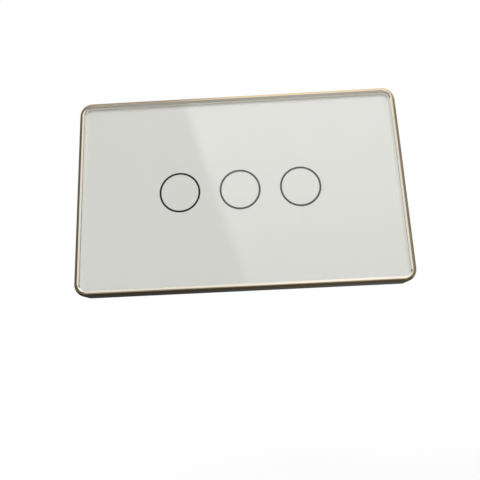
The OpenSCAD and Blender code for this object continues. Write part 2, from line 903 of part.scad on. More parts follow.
module relay_cores() {
    color(tin) for (i = [0:2]) at_relay(i) translate([0, coil_y, 0]) {
        rod(core_r, relay_base_t, z_pole - pole_head_t / 2);
        rod(pole_head_r, z_pole - pole_head_t, z_pole);
    }
}

module relay_bobbins() {
    h0 = relay_base_t + yoke_t + bobbin_gap;
    h1 = z_pole - pole_head_t - bobbin_gap;
    color(ivory) for (i = [0:2]) at_relay(i) translate([0, coil_y, 0]) difference() {
        union() {
            rod(core_r + bobbin_wall, h0, h1);
            rod(bobbin_r, h0, h0 + bobbin_t);
            rod(bobbin_r, h1 - bobbin_t, h1);
        }
        rod(core_r + bobbin_gap, h0 - eps, h1 + eps);
    }
}

module relay_windings() {
    h0 = relay_base_t + yoke_t + bobbin_gap + bobbin_t + winding_gap;
    h1 = z_pole - pole_head_t - bobbin_gap - bobbin_t - winding_gap;
    color(copper) for (i = [0:2]) at_relay(i) translate([0, coil_y, 0])
        tube(winding_r, core_r + bobbin_wall + winding_gap, h0, h1);
}

module relay_armature(i) {
    start = yoke_y - armature_tail;
    end = coil_y + pole_head_r;
    color(steel) at_relay(i) difference() {
        translate([-yoke_w / 2, start, z_armature]) cube([yoke_w, end - start, armature_t]);
        translate([-yoke_w / 2 - eps, pivot_y, z_pivot]) rotate([0, 90, 0])
            cylinder(r = pivot_r + pivot_gap, h = yoke_w + 2 * eps);
    }
}

module relay_blade(i) {
    start = coil_y - blade_w;
    end = contact_y + rivet_r + blade_t;
    color(brass) at_relay(i) {
        translate([-blade_w / 2, start, z_blade]) cube([blade_w, end - start, blade_t]);
        translate([0, contact_y, 0]) rod(rivet_r, z_blade - rivet_h, z_blade + blade_t + rivet_head);
    }
}

// The fixed contact, the yoke's pin and the two coil pins of each relay.
module relay_pins() {
    contact_top = z_blade - rivet_h - contact_drop;
    color(tin) for (i = [0:2]) at_relay(i) {
        translate([0, contact_y, 0]) {
            rod(pin_r, -pin_l, relay_base_t + pin_r);
            block(blade_w, post_t, relay_base_t, contact_top - rivet_head);
            rod(rivet_r, contact_top - rivet_head - rivet_h, contact_top);
        }
        translate([0, pivot_y, 0]) rod(pin_r, -pin_l, relay_base_t);
        for (s = [-1, 1]) translate([s * coil_pin_x, coil_pin_y, 0])
            rod(pin_r, -pin_l, relay_base_t + coil_pin_h);
    }
}

module transformer_core() {
    window_x = (core_leg + core_window_w) / 2;
    window_z = (core_h - core_window_h) / 2;
    color("#3b3b3d") on_power_back(transformer_x, aux_y) difference() {
        block(core_w, core_d, 0, core_h);
        for (s = [-1, 1]) translate([s * window_x, 0, 0])
            block(core_window_w, core_d + 2 * eps, window_z, window_z + core_window_h);
    }
}

module transformer_coil() {
    coil_w = core_leg + 2 * (core_window_w - core_gap);
    coil_h = core_window_h - 2 * core_gap;
    color(amber) on_power_back(transformer_x, aux_y) difference() {
        block(coil_w, aux_d - row_gap, (core_h - coil_h) / 2, (core_h + coil_h) / 2);
        block(core_leg + 2 * core_gap, core_d + 2 * core_gap, 0, core_h);
    }
}

module film_capacitor() {
    color("#d6b23c") on_power_back(film_x, aux_y) block(film_w, film_d, 0, film_h);
}

// Two upright cans, each with the groove that its seal is crimped by.
module storage_capacitors() {
    groove = 0.6;
    color(black) for (x = storage_x) on_power_back(x, aux_y) difference() {
        rod(can_r, 0, can_h);
        tube(can_r + eps, can_r - groove / 2, can_h - 2 * groove, can_h - groove);
    }
}

module fuse() {
    color("#d9dcda") translate([fuse_x, supply_y, z_power + fuse_cap_r]) rotate([0, 90, 0]) {
        rod(fuse_cap_r - fuse_step, -fuse_l / 2, fuse_l / 2);
        for (s = [-1, 1]) translate([0, 0, s * (fuse_l - fuse_cap_l) / 2])
            rod(fuse_cap_r, -fuse_cap_l / 2, fuse_cap_l / 2);
    }
}

module varistor() {
    color(relay_blue) translate([0, supply_y, 0]) rod(varistor_r, z_power, z_power + varistor_h);
}

module bridge_rectifier() {
    color(black) translate([relay_pitch, supply_y, z_power]) chip(rectifier, 2, rectifier_pitch);
}

// One terminal: a moulded pole with a cage that rises as its screw turns

module terminal_blocks() {
    z_cavity = h_cage - cage_gap / 2;
    cavity_w = cage_w + cage_gap;
    color("#3d7a4f") for (p = POLES) at_pole(p) difference() {
        translate([0, pole_d / 2, 0]) block(pole_pitch - pole_gap, pole_d, 0, pole_h);
        translate([-cavity_w / 2, entry_wall, z_cavity]) cube([cavity_w, cavity_d, cavity_h]);
        translate([0, -eps, wire_h]) rotate([-90, 0, 0]) cylinder(d = wire_d, h = entry_wall + 2 * eps);
        translate([0, screw_y, 0]) rod(screw_head_r + free_fit, z_cavity, pole_h + eps);
        translate([0, leg_y + leg_t / 2, 0]) rod(pin_r + pin_gap, -eps, z_cavity + eps);
    }
}

module terminal_contacts() {
    tongue_l = leg_y + leg_t - entry_wall - cage_gap;
    color(tin) for (p = POLES) at_pole(p) {
        translate([-tongue_w / 2, entry_wall + cage_gap, h_tongue]) cube([tongue_w, tongue_l, tongue_t]);
        translate([-tongue_w / 2, leg_y, h_cage]) cube([tongue_w, leg_t, h_tongue + tongue_t - h_cage]);
        translate([0, leg_y + leg_t / 2, 0]) rod(leg_t / 2, -pin_l, h_cage + leg_root);
    }
}

module terminal_screw(p) {
    tip = h_tongue + tongue_t + screw_gap;
    top = h_head + screw_head_h;
    color(brass) at_pole(p) translate([0, screw_y, 0]) difference() {
        union() {
            rod(clamp_screw_d / 2, tip, h_head + screw_root);
            rod(screw_head_r, h_head, top);
        }
        block(2 * screw_head_r + eps, screw_slot_w, top - screw_slot_t, top + eps);
    }
}

module terminal_clamp(p) {
    top = h_cage_top + cage_floor;
    color(tin) at_pole(p) translate([0, screw_y, 0]) difference() {
        block(cage_w, cage_d, h_cage, top);
        block(cage_w - 2 * cage_wall, cage_d + 2 * eps, h_cage + cage_floor, h_cage_top);
        rod(clamp_screw_d / 2 + screw_gap, h_cage_top - eps, top + eps);
    }
}

mounted() gold_frame();
mounted() glass_panel();
mounted() white_print();
for (i = [0:2]) mounted() touch_ring(i);
mounted() adhesive_gasket();
mounted() glass_carrier();
mounted() frame_screws();
mounted() base_frame();
mounted() rear_housing();
mounted() housing_screws();
mounted() touch_board();
for (i = [0:2]) mounted() touch_spring(i);
for (i = [0:2]) mounted() light_guide(i);
mounted() indicator_leds();
mounted() touch_board_chips();
mounted() header_pins();
mounted() header_socket();
mounted() power_board();
mounted() board_screws();
for (i = [0:2]) mounted() relay_base(i);
for (i = [0:2]) mounted() relay_case(i);
for (i = [0:2]) mounted() relay_armature(i);
for (i = [0:2]) mounted() relay_blade(i);
mounted() relay_yokes();
mounted() relay_cores();
mounted() relay_bobbins();
mounted() relay_windings();
mounted() relay_pins();
mounted() transformer_core();
mounted() transformer_coil();
mounted() film_capacitor();
mounted() storage_capacitors();
mounted() fuse();
mounted() varistor();
mounted() bridge_rectifier();
mounted() terminal_blocks();
mounted() terminal_contacts();
for (p = POLES) mounted() terminal_screw(p);
for (p = POLES) mounted() terminal_clamp(p);
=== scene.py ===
"""The looks of a three-ring touch light switch, laid out as an add-on and run as a script.

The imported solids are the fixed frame. Each operator finishes one piece or one group of like pieces: a copy
of the solid gets merged corners and soft edges, small details are added, and each surface gets its real
material. Lengths are in metres, and MM turns millimetres into them. The glass looks along -Y and the plate's
top is +Z.
"""

import json
import math

import bpy
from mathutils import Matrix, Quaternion, Vector


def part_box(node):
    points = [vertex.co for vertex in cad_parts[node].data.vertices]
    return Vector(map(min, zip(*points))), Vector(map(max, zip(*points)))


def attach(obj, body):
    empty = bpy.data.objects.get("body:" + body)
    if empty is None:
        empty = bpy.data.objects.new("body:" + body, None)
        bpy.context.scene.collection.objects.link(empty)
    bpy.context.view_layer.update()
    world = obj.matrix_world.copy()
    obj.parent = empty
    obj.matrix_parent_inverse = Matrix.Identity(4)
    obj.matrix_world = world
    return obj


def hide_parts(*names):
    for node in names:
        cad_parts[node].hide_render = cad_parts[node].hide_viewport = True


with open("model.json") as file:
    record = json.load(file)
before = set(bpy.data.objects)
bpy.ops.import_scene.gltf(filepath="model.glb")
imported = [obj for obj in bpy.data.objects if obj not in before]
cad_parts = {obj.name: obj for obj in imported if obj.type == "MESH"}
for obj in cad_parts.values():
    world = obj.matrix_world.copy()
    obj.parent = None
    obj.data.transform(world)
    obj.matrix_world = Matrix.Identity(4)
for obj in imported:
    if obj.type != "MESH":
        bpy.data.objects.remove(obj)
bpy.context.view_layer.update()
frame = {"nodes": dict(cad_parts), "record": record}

bl_info = {
    "name": "Touch light switch",
    "version": (1, 0, 0),
    "blender": (4, 5, 0),
    "location": "3D View > Sidebar > Switch",
    "description": "Finishes the pieces of a touch light switch and sets up its studio",
    "category": "Object",
}

MM = 0.001
SIDES = ("left", "middle", "right")
POLES = (1, 2, 3, 4)
RECORD = frame["record"]
BODY_OF = {node: body for body, nodes in RECORD["behaviour"]["bodies"].items() for node in nodes}
SLOT_OF = {part["node"]: part["material_slot"] for part in RECORD["subparts"]}
SAME_POINT = 0.002 * MM
FLAT_ANGLE = math.radians(1)
SHARP_ANGLE = math.radians(35)

# Shares of a face's unit normal: straight along an axis, leaning towards it, barely turned to it.
STRAIGHT = 0.9
LEANING = 0.3
BARELY = 0.1
# The share of its half size beyond which a face of the print is on its edge.
PRINT_EDGE = 0.9

# Turns of a flat shape that is made lying down.
LEVEL = (0, 0, 0)
UPRIGHT = (math.pi / 2, 0, 0)
SIDEWAYS = (math.pi / 2, 0, math.pi / 2)

HEADER_PITCH = 2.54 * MM
# The touch chip: the height of its row, and the limits beside and above it that part it from other pieces.
TOUCH_CHIP_ROW = -14.2 * MM
TOUCH_CHIP_END = 1.5 * MM
TOUCH_CHIP_TOP = -10 * MM
# Half the width of a chip's body, which its legs stand out from.
CHIP_HALF = 1.96 * MM
# A small chip part: its length, width and height, and the places of all of them in millimetres.
CHIP_PART = (2.0 * MM, 1.25 * MM, 0.6 * MM)
CHIP_PART_PLACES = [(5 + 3.4 * k, row) for k in range(5) for row in (-12.95, -15.45)]
CHIP_PART_PLACES += [(x, 9.95) for x in (-21.9, 0, 21.9)]
# The thickness of tin on a part's end, how far a pad reaches past its spring, and the length of a fuse cap.
TIN = 0.02 * MM
PAD_MARGIN = 0.6 * MM
FUSE_CAP = 2 * MM

# A touch spring: its turns, the turns of the flat curl at each end, and how far a curl draws in with a turn.
SPRING_TURNS = 4
SPRING_CURL = 0.8
SPRING_DRAW = 2.4 * MM
SPRING_STEPS = 28

# Sides of round details.
WIRE_SIDES = 12
PAD_SIDES = 48
SOLDER_SIDES = 16
# The steps of solder up a pin: each one's share of the height, and how much narrower the solder gets.
SOLDER_STEPS = ((0.08, 0.94), (0.14, 0.84), (0.23, 0.79), (0.3, 0.84), (0.25, 0.9))


def linear(hex_colour):
    """Turn an sRGB hex colour into the linear values that shaders take."""
    channels = [int(hex_colour[k:k + 2], 16) / 255 for k in (1, 3, 5)]
    return [c / 12.92 if c <= 0.04045 else ((c + 0.055) / 1.055) ** 2.4 for c in channels]


def length(name, description, millimetres):
    """A length that a user may change."""
    return bpy.props.FloatProperty(
        name=name, description=description, default=millimetres * MM, min=0, precision=5, unit="LENGTH"
    )


def colour(name, description, hex_colour):
    """A colour that a user may change."""
    return bpy.props.FloatVectorProperty(
        name=name, description=description, default=linear(hex_colour), min=0, max=1, subtype="COLOR"
    )


def point(name, description, millimetres):
    """A place in the studio that a user may change."""
    return bpy.props.FloatVectorProperty(
        name=name, description=description, default=[c * MM for c in millimetres], unit="LENGTH"
    )


class SwitchSizes(bpy.types.PropertyGroup):
    """Edge radii and small details that the solids leave sharp or out."""

    metal_edge: length("Metal edge", "Edge radius of the metal frame", 0.06)
    glass_edge: length("Glass edge", "Edge radius of the polished glass", 0.08)
    glass_air: length("Glass air", "Thin air layer between the glass and its print", 0.02)
    glass_seat: length("Glass seat", "How far the glass and its print reach past their solids", 0.26)
    moulded_edge: length("Moulded edge", "Edge radius of the rear housing and the relay covers", 0.2)
    small_edge: length("Small edge", "Edge radius of the other mouldings", 0.1)
    screw_edge: length("Screw edge", "Edge radius of screws and cages", 0.08)
    chip_edge: length("Chip edge", "Edge radius of chips, lamps and pins", 0.04)
    spring_wire: length("Spring wire", "Wire diameter of a touch spring", 0.6)
    pad_width: length("Pad width", "Width of the tinned ring that a touch spring stands on", 3)
    pad_height: length("Pad height", "Height of a tinned ring above its board", 0.05)
    solder_width: length("Solder width", "Foot of the solder around a header pin", 1.7)
    solder_height: length("Solder height", "How far the solder climbs a header pin", 0.7)
    cap_length: length("Cap length", "Length of a tinned end of a small chip part", 0.4)
    cap_foot: length("Cap foot", "How far the solder of a tinned end runs out on the board", 0.35)
    sleeve_edge: length("Sleeve edge", "Rolled edge of a capacitor's sleeve around the bare can", 0.7)


class SwitchColours(bpy.types.PropertyGroup):
    """The colours of the finishes that show most."""

    metal: colour("Metal", "Anodised frame", "#e6d2b0")
    # A paler copy of the metal colour, which paints a highlight on the frame's inward faces.
    bevel: colour("Bevel", "Inside of the frame, painted paler as a highlight", "#e6dfd2")
    glass: colour("Glass", "Tint of the glass", "#fcfefd")
    white_print: colour("Print", "Print behind the glass", "#d4d3ce")
    ring: colour("Ring", "Ink of the touch rings", "#1e201f")
    plastic: colour("Plastic", "Wall base and rear housing", "#e9e8e2")
    carrier: colour("Carrier", "Carrier behind the glass", "#dedcd4")
    board: colour("Board", "Solder mask of the boards", "#1f5a38")
    terminal: colour("Terminal", "Terminal mouldings", "#2f7a4c")
    relay: colour("Relay", "Relay covers", "#2b5c98")


class SwitchStudio(bpy.types.PropertyGroup):
    """Camera, floor and light."""

    camera_place: point("Camera place", "Where the camera stands", (5.4, -202.4, -54.4))
    camera_aim: point("Camera aim", "The point on the plate that the lens points at", (0.06, -9.5, 0.12))
    camera_roll: bpy.props.FloatProperty(
        name="Camera roll", description="Lean of the camera to its right", default=math.radians(2.57),
        unit="ROTATION",
    )
    lens: bpy.props.FloatProperty(
        name="Lens", description="Focal length on a 36 mm sensor", default=42.0, min=10, max=200
    )
    shift: bpy.props.FloatProperty(
        name="Shift", description="Vertical lens shift, as a share of the picture", default=-0.11
    )
    floor_drop: length("Floor drop", "Depth of the floor under the middle of the plate", 130)
    sky_light: bpy.props.FloatProperty(
        name="Sky light", description="Strength of the even light from all around", default=0.6, min=0
    )


class SwitchSettings(bpy.types.PropertyGroup):
    """Everything that the operators read."""

    sizes: bpy.props.PointerProperty(type=SwitchSizes)
    colours: bpy.props.PointerProperty(type=SwitchColours)
    studio: bpy.props.PointerProperty(type=SwitchStudio)


# Materials


def add_node(tree, kind, inputs=None, out=0, **settings):
    """Add a shader node, set its properties, set or link its inputs, and return one of its outputs.

    Inputs and the output go by name or number. All outputs are returned if out is None.
    """
    made = tree.nodes.new(kind)
    for name, value in settings.items():
        setattr(made, name, value)
    for name, value in (inputs or {}).items():
        if isinstance(value, bpy.types.NodeSocket):
            tree.links.new(value, made.inputs[name])
        else:
            made.inputs[name].default_value = value
    return made.outputs if out is None else made.outputs[out]


def empty_material(name):
    """A material with no nodes, its tree, and the piece's own coordinates to draw patterns on."""
    material = bpy.data.materials.new(name)
    material.use_nodes = True
    tree = material.node_tree
    tree.nodes.clear()
    return material, tree, add_node(tree, "ShaderNodeTexCoord", out="Object")


def surface(name, tint, drift, patch_mm, roughness, grit_mm, relief_mm, stretch=(1, 1, 1), **sockets):
    """A material whose colour and roughness drift in patches, on a skin with a fine relief.

    drift is the share by which the darkest patches are darker. sockets are constants of the shader.
    """
    noise_low = 0.3
    noise_high = 0.7
    material, tree, spot = empty_material(name)
    spot = add_node(tree, "ShaderNodeMapping", {"Vector": spot, "Scale": stretch})
    cloud = add_node(tree, "ShaderNodeTexNoise", {"Vector": spot, "Scale": 1 / (patch_mm * MM), "Detail": 4})
    spread = add_node(
        tree, "ShaderNodeMapRange", {"Value": cloud, "From Min": noise_low, "From Max": noise_high}
    )
    dark = [c * (1 - drift) for c in tint]
    tone = add_node(
        tree, "ShaderNodeMix", {0: spread, 6: (*dark, 1), 7: (*tint, 1)}, out=2, data_type="RGBA"
    )
    rough = add_node(
        tree, "ShaderNodeMapRange", {"Value": spread, "To Min": roughness[0], "To Max": roughness[1]}
    )
    grit = add_node(tree, "ShaderNodeTexNoise", {"Vector": spot, "Scale": 1 / (grit_mm * MM), "Detail": 2})
    skin = add_node(tree, "ShaderNodeBump", {"Distance": relief_mm * MM, "Height": grit})
    values = {"Base Color": tone, "Roughness": rough, "Normal": skin}
    for socket, value in sockets.items():
        values[socket.replace("_", " ")] = value
    shader = add_node(tree, "ShaderNodeBsdfPrincipled", values)
    add_node(tree, "ShaderNodeOutputMaterial", {"Surface": shader}, out=None)
    return material


def anodised_aluminium(colours):
    # Bright-dipped and anodised: clear gold reflections, with the faint cloud that the bath leaves.
    return surface(
        "Champagne anodised aluminium", colours.metal, Metallic=1.0,
        drift=0.06, patch_mm=9, roughness=(0.13, 0.19), grit_mm=0.25, relief_mm=0.002,
    )


def painted_highlight_bevel_metal(colours):
    # A paler copy of the frame metal for its inward faces, as a painted highlight: brighter and paler than
    # the frame, with a mirror's gloss, it stands in for the bright band of light along the inside of the
    # frame.
    return surface(
        "Frame metal with painted highlight", colours.bevel, Metallic=1.0,
        drift=0.03, patch_mm=6, roughness=(0.1, 0.15), grit_mm=0.25, relief_mm=0.001,
    )


def painted_side_wall_light(colours):
    # A pale mirror finish on the frame's walls beside the left and right edges of the glass only, as painted
    # light: it stands in for the light that the polished glass edge throws back from inside, and the top wall
    # keeps its shade.
    return surface(
        "Painted light on side walls", linear("#fbf8f1"), Metallic=1.0,
        drift=0.02, patch_mm=6, roughness=(0.1, 0.15), grit_mm=0.25, relief_mm=0.001,
    )


def tempered_glass(colours):
    # Float glass with a ground and polished edge: clear, a little green, with wipe marks that only gloss
    # shows.
    return surface(
        "Tempered float glass", colours.glass, IOR=1.52, Transmission_Weight=1.0,
        drift=0.01, patch_mm=14, roughness=(0.0, 0.03), grit_mm=4, relief_mm=0.0005,
    )


def screen_print(colours):
    # Ceramic ink pressed through a mesh: even, matt, with the mesh's slight mottle drawn coarse enough to
    # show. It is bonded to the glass, so it has no gloss of its own.
    return surface(
        "White screen print", colours.white_print, Specular_IOR_Level=0.0,
        drift=0.015, patch_mm=3, roughness=(0.5, 0.6), grit_mm=0.4, relief_mm=0.002,
    )


def ring_ink(colours):
    # Translucent grey ink over the opening that the light shines through: dark, bonded to the glass like the
    # print.
    return surface(
        "Smoke grey ink", colours.ring, Specular_IOR_Level=0.0,
        drift=0.12, patch_mm=0.8, roughness=(0.3, 0.4), grit_mm=0.3, relief_mm=0.002,
    )


def foam_tape(colours):
    # Closed-cell acrylic foam: dull, nearly black, with pores of about a third of a millimetre.
    return surface(
        "Black acrylic foam", linear("#2b2c2e"),
        drift=0.4, patch_mm=0.35, roughness=(0.85, 0.95), grit_mm=0.3, relief_mm=0.06,
    )


def carrier_polycarbonate(colours):
    # Moulded polycarbonate from a finely eroded mould: off-white, silky.
    return surface(
        "Carrier polycarbonate", colours.carrier,
        drift=0.05, patch_mm=11, roughness=(0.42, 0.52), grit_mm=0.35, relief_mm=0.012,
    )


def white_polycarbonate(colours):
    # Moulded flame-retardant polycarbonate: warm white with the fine sparkle texture of an eroded mould.
    return surface(
        "White polycarbonate", colours.plastic,
        drift=0.05, patch_mm=13, roughness=(0.4, 0.5), grit_mm=0.4, relief_mm=0.016,
        Subsurface_Weight=0.08, Subsurface_Radius=(0.001, 0.001, 0.0008),
    )


def zinc_steel(colours):
    # Cold-headed steel with blue zinc: grey with a straw and blue cast from spot to spot.
    return surface(
        "Zinc-plated steel", linear("#c6cbd0"), Metallic=1.0,
        drift=0.3, patch_mm=0.8, roughness=(0.24, 0.4), grit_mm=0.2, relief_mm=0.006,
    )


def circuit_board(colours):
    # Glass-fibre board under green solder mask: tracks run in bundles, across or up, with plain copper
    # between them and plated holes. The sawn edges show the yellow fibre. Each bundle draws a number from 0
    # to 1, which says whether its tracks run upright and whether it is plain copper.
    bundle = 9 * MM
    upright_from = 0.45
    copper_from = 0.72
    track_pitch = 2.54 * MM
    track_foot = 0.42 * MM
    track_top = 0.36 * MM
    track_height = 0.035 * MM
    hole_pitch = 5.08 * MM
    tin_radius = 0.45 * MM
    hole_radius = 0.2 * MM
    weave_width = 0.9 * MM
    valley_shade = 0.75
    copper_shade = 1.45
    edge_share = 0.5
    material, tree, spot = empty_material("Green solder mask")
    place = add_node(tree, "ShaderNodeSeparateXYZ", {"Vector": spot}, out=None)
    plane = add_node(tree, "ShaderNodeCombineXYZ", {"X": place["X"], "Y": place["Z"]})
    fields = add_node(
        tree, "ShaderNodeTexVoronoi", {"Vector": plane, "Scale": 1 / bundle, "Randomness": 0.8}, out="Color",
        voronoi_dimensions="2D", distance="CHEBYCHEV",
    )
    kind = add_node(tree, "ShaderNodeSeparateColor", {"Color": fields}, out="Red")
    upright = add_node(tree, "ShaderNodeMath", {0: kind, 1: upright_from}, operation="GREATER_THAN")
    filled = add_node(tree, "ShaderNodeMath", {0: kind, 1: copper_from}, operation="GREATER_THAN")
    run = add_node(tree, "ShaderNodeMix", {0: upright, 2: place["Z"], 3: place["X"]})
    step = add_node(tree, "ShaderNodeMath", {0: run, 1: track_pitch / 2}, operation="PINGPONG")
    track = add_node(
        tree, "ShaderNodeMapRange", {"Value": step, "From Min": track_foot, "From Max": track_top}
    )
    copper = add_node(tree, "ShaderNodeMath", {0: track, 1: filled}, operation="MAXIMUM")
    holes = add_node(
        tree, "ShaderNodeTexVoronoi", {"Vector": plane, "Scale": 1 / hole_pitch, "Randomness": 0.7},
        voronoi_dimensions="2D",
    )
    tinned = add_node(tree, "ShaderNodeMath", {0: holes, 1: tin_radius / hole_pitch}, operation="LESS_THAN")
    drilled = add_node(tree, "ShaderNodeMath", {0: holes, 1: hole_radius / hole_pitch}, operation="LESS_THAN")
    weave = add_node(tree, "ShaderNodeTexNoise", {"Vector": spot, "Scale": 1 / weave_width, "Detail": 3})
    facing = add_node(tree, "ShaderNodeTexCoord", out="Normal")
    depth = add_node(tree, "ShaderNodeSeparateXYZ", {"Vector": facing}, out="Y")
    flat = add_node(tree, "ShaderNodeMath", {0: depth}, operation="ABSOLUTE")
    sawn = add_node(tree, "ShaderNodeMath", {0: flat, 1: edge_share}, operation="LESS_THAN")
    valley = [c * valley_shade for c in colours.board]
    covered = [min(1, c * copper_shade + 0.004) for c in colours.board]
    tin, dark, fibre = linear("#b9b7ae"), linear("#12180f"), linear("#a8a468")
    tone = (*valley, 1)
    layers = ((weave, colours.board), (copper, covered), (tinned, tin), (drilled, dark), (sawn, fibre))
    for mask, shade in layers:
        tone = add_node(
            tree, "ShaderNodeMix", {0: mask, 6: tone, 7: (*shade, 1)}, out=2, data_type="RGBA"
        )
    skin = add_node(tree, "ShaderNodeBump", {"Distance": track_height, "Height": copper})
    rough = add_node(tree, "ShaderNodeMapRange", {"Value": weave, "To Min": 0.24, "To Max": 0.4})
    shader = add_node(
        tree, "ShaderNodeBsdfPrincipled", {"Base Color": tone, "Roughness": rough, "Normal": skin}
    )
    add_node(tree, "ShaderNodeOutputMaterial", {"Surface": shader}, out=None)
    return material


def spring_wire(colours):
    # Nickel-plated spring wire: bright, drawn along its length, so gloss breaks up in fine streaks.
    return surface(
        "Nickel-plated wire", linear("#d8d3c8"), Metallic=1.0,
        drift=0.15, patch_mm=0.6, roughness=(0.18, 0.3), grit_mm=0.2, relief_mm=0.004,
    )


def milky_acrylic(colours):
    # Acrylic with a diffuser in it: milky white that light soaks into.
    return surface(
        "Milky acrylic", linear("#eef3f3"),
        drift=0.03, patch_mm=5, roughness=(0.18, 0.28), grit_mm=0.5, relief_mm=0.004,
        Subsurface_Weight=0.5, Subsurface_Radius=(0.002, 0.002, 0.0022),
    )


def led_resin(colours):
    # Silicone with yellow phosphor: soft yellow, slightly glossy.
    return surface(
        "Phosphor resin", linear("#f0dd8c"),
        drift=0.1, patch_mm=0.5, roughness=(0.25, 0.35), grit_mm=0.2, relief_mm=0.004,
    )


def black_resin(colours):
    # Transfer-moulded epoxy: charcoal, fine sandy skin.
    return surface(
        "Black moulded epoxy", linear("#2a2b2d"),
        drift=0.25, patch_mm=1.2, roughness=(0.45, 0.6), grit_mm=0.2, relief_mm=0.012,
    )


def relay_cover(colours):
    # Glossy moulded polyester: clear blue with soft flow marks.
    return surface(
        "Blue polyester", colours.relay,
        drift=0.12, patch_mm=6, roughness=(0.22, 0.34), grit_mm=0.4, relief_mm=0.006,
    )


def soft_iron(colours):
    # Stamped soft iron with dull nickel: grey, with rolling marks along the sheet.
    return surface(
        "Nickel-plated soft iron", linear("#b7b5b0"), stretch=(1, 1, 0.2), Metallic=1.0,
        drift=0.2, patch_mm=1.5, roughness=(0.3, 0.45), grit_mm=0.25, relief_mm=0.006,
    )


def contact_bronze(colours):
    # Rolled spring bronze: warm brown gold, with fine rolling lines along the strip.
    return surface(
        "Spring bronze", linear("#c99a5e"), stretch=(1, 1, 0.15), Metallic=1.0,
        drift=0.15, patch_mm=1, roughness=(0.25, 0.38), grit_mm=0.2, relief_mm=0.004,
    )


def bobbin_nylon(colours):
    # Unfilled nylon: ivory, waxy.
    return surface(
        "Ivory nylon", linear("#dcd3bb"), Subsurface_Weight=0.15,
        drift=0.06, patch_mm=3, roughness=(0.4, 0.5), grit_mm=0.3, relief_mm=0.008,
    )


def copper_wire(colours):
    # Enamelled copper in close turns along the coil: red-brown, with painted shade in the grooves between the
    # turns and a painted highlight on their ridges. A wave of scale 1 repeats every pi / 10 of a metre.
    turn_width = 0.25 * MM
    turn_height = 0.12 * MM
    material, tree, spot = empty_material("Enamelled copper turns")
    turns = add_node(
        tree, "ShaderNodeTexWave",
        {"Vector": spot, "Scale": math.pi / 10 / turn_width, "Distortion": 0.4, "Detail": 1}, out="Fac",
        bands_direction="Y",
    )
    # Darker between the turns as painted shade, brighter on each turn as a painted highlight.
    groove_painted_shade, ridge = linear("#6e2f14"), linear("#c9743c")
    tone = add_node(
        tree, "ShaderNodeMix", {0: turns, 6: (*groove_painted_shade, 1), 7: (*ridge, 1)}, out=2, data_type="RGBA"
    )
    skin = add_node(tree, "ShaderNodeBump", {"Distance": turn_height, "Height": turns})
    shader = add_node(
        tree, "ShaderNodeBsdfPrincipled",
        {"Base Color": tone, "Normal": skin, "Metallic": 0.85, "Roughness": 0.3, "Coat Weight": 0.5},
    )
    add_node(tree, "ShaderNodeOutputMaterial", {"Surface": shader}, out=None)
    return material


def tinned_copper(colours):
    # Hot-dipped tin: pale, with the soft waves of solder.
    return surface(
        "Tinned copper", linear("#cfd0d0"), Metallic=1.0,
        drift=0.2, patch_mm=0.9, roughness=(0.22, 0.36), grit_mm=0.5, relief_mm=0.015,
    )


def ferrite(colours):
    # Pressed and sintered ferrite: dark grey, dull, grainy.
    return surface(
        "Sintered ferrite", linear("#3c3c3f"),
        drift=0.3, patch_mm=0.7, roughness=(0.5, 0.65), grit_mm=0.25, relief_mm=0.02,
    )


def amber_tape(colours):
    # Polyester tape over the windings: amber, glossy, with lap lines.
    return surface(
        "Amber polyester tape", linear("#cf8f2a"), stretch=(1, 4, 1), Coat_Weight=0.4,
        drift=0.2, patch_mm=2.2, roughness=(0.15, 0.25), grit_mm=0.6, relief_mm=0.02,
    )


def yellow_film(colours):
    # Flame-retardant moulded box: yellow, satin.
    return surface(
        "Yellow moulded box", linear("#d9b23a"),
        drift=0.08, patch_mm=3, roughness=(0.32, 0.42), grit_mm=0.3, relief_mm=0.01,
    )


def can_aluminium(colours):
    # The bare end of a drawn can: pale, with soft drawing marks.
    return surface(
        "Drawn aluminium", linear("#d3d5d6"), Metallic=1.0,
        drift=0.1, patch_mm=1.5, roughness=(0.22, 0.34), grit_mm=0.3, relief_mm=0.006,
    )


def fuse_ceramic(colours):
    # A white ceramic tube between plated caps: pale, glazed.
    return surface(
        "Glazed ceramic", linear("#e3e2dc"), Coat_Weight=0.3,
        drift=0.06, patch_mm=2, roughness=(0.15, 0.22), grit_mm=0.4, relief_mm=0.006,
    )


def blue_epoxy(colours):
    # Dipped epoxy: blue, glossy, with the gentle orange skin of a dipped coat.
    return surface(
        "Dipped blue epoxy", linear("#2a5fa5"),
        drift=0.1, patch_mm=2, roughness=(0.15, 0.24), grit_mm=0.9, relief_mm=0.04,
    )


def terminal_nylon(colours):
    # Glass-filled nylon: green, satin, with flow marks.
    return surface(
        "Green filled nylon", colours.terminal,
        drift=0.12, patch_mm=2.5, roughness=(0.38, 0.5), grit_mm=0.25, relief_mm=0.014,
    )


def terminal_brass(colours):
    # Turned brass: warm yellow, with fine tool marks.
    return surface(
        "Turned brass", linear("#d8b25e"), Metallic=1.0,
        drift=0.16, patch_mm=0.9, roughness=(0.2, 0.34), grit_mm=0.2, relief_mm=0.006,
    )


def plated_steel(colours):
    # Folded steel strip with zinc: cool grey, slightly cloudy.
    return surface(
        "Zinc-plated strip", linear("#bfc4c8"), Metallic=1.0,
        drift=0.22, patch_mm=1.2, roughness=(0.28, 0.42), grit_mm=0.2, relief_mm=0.006,
    )


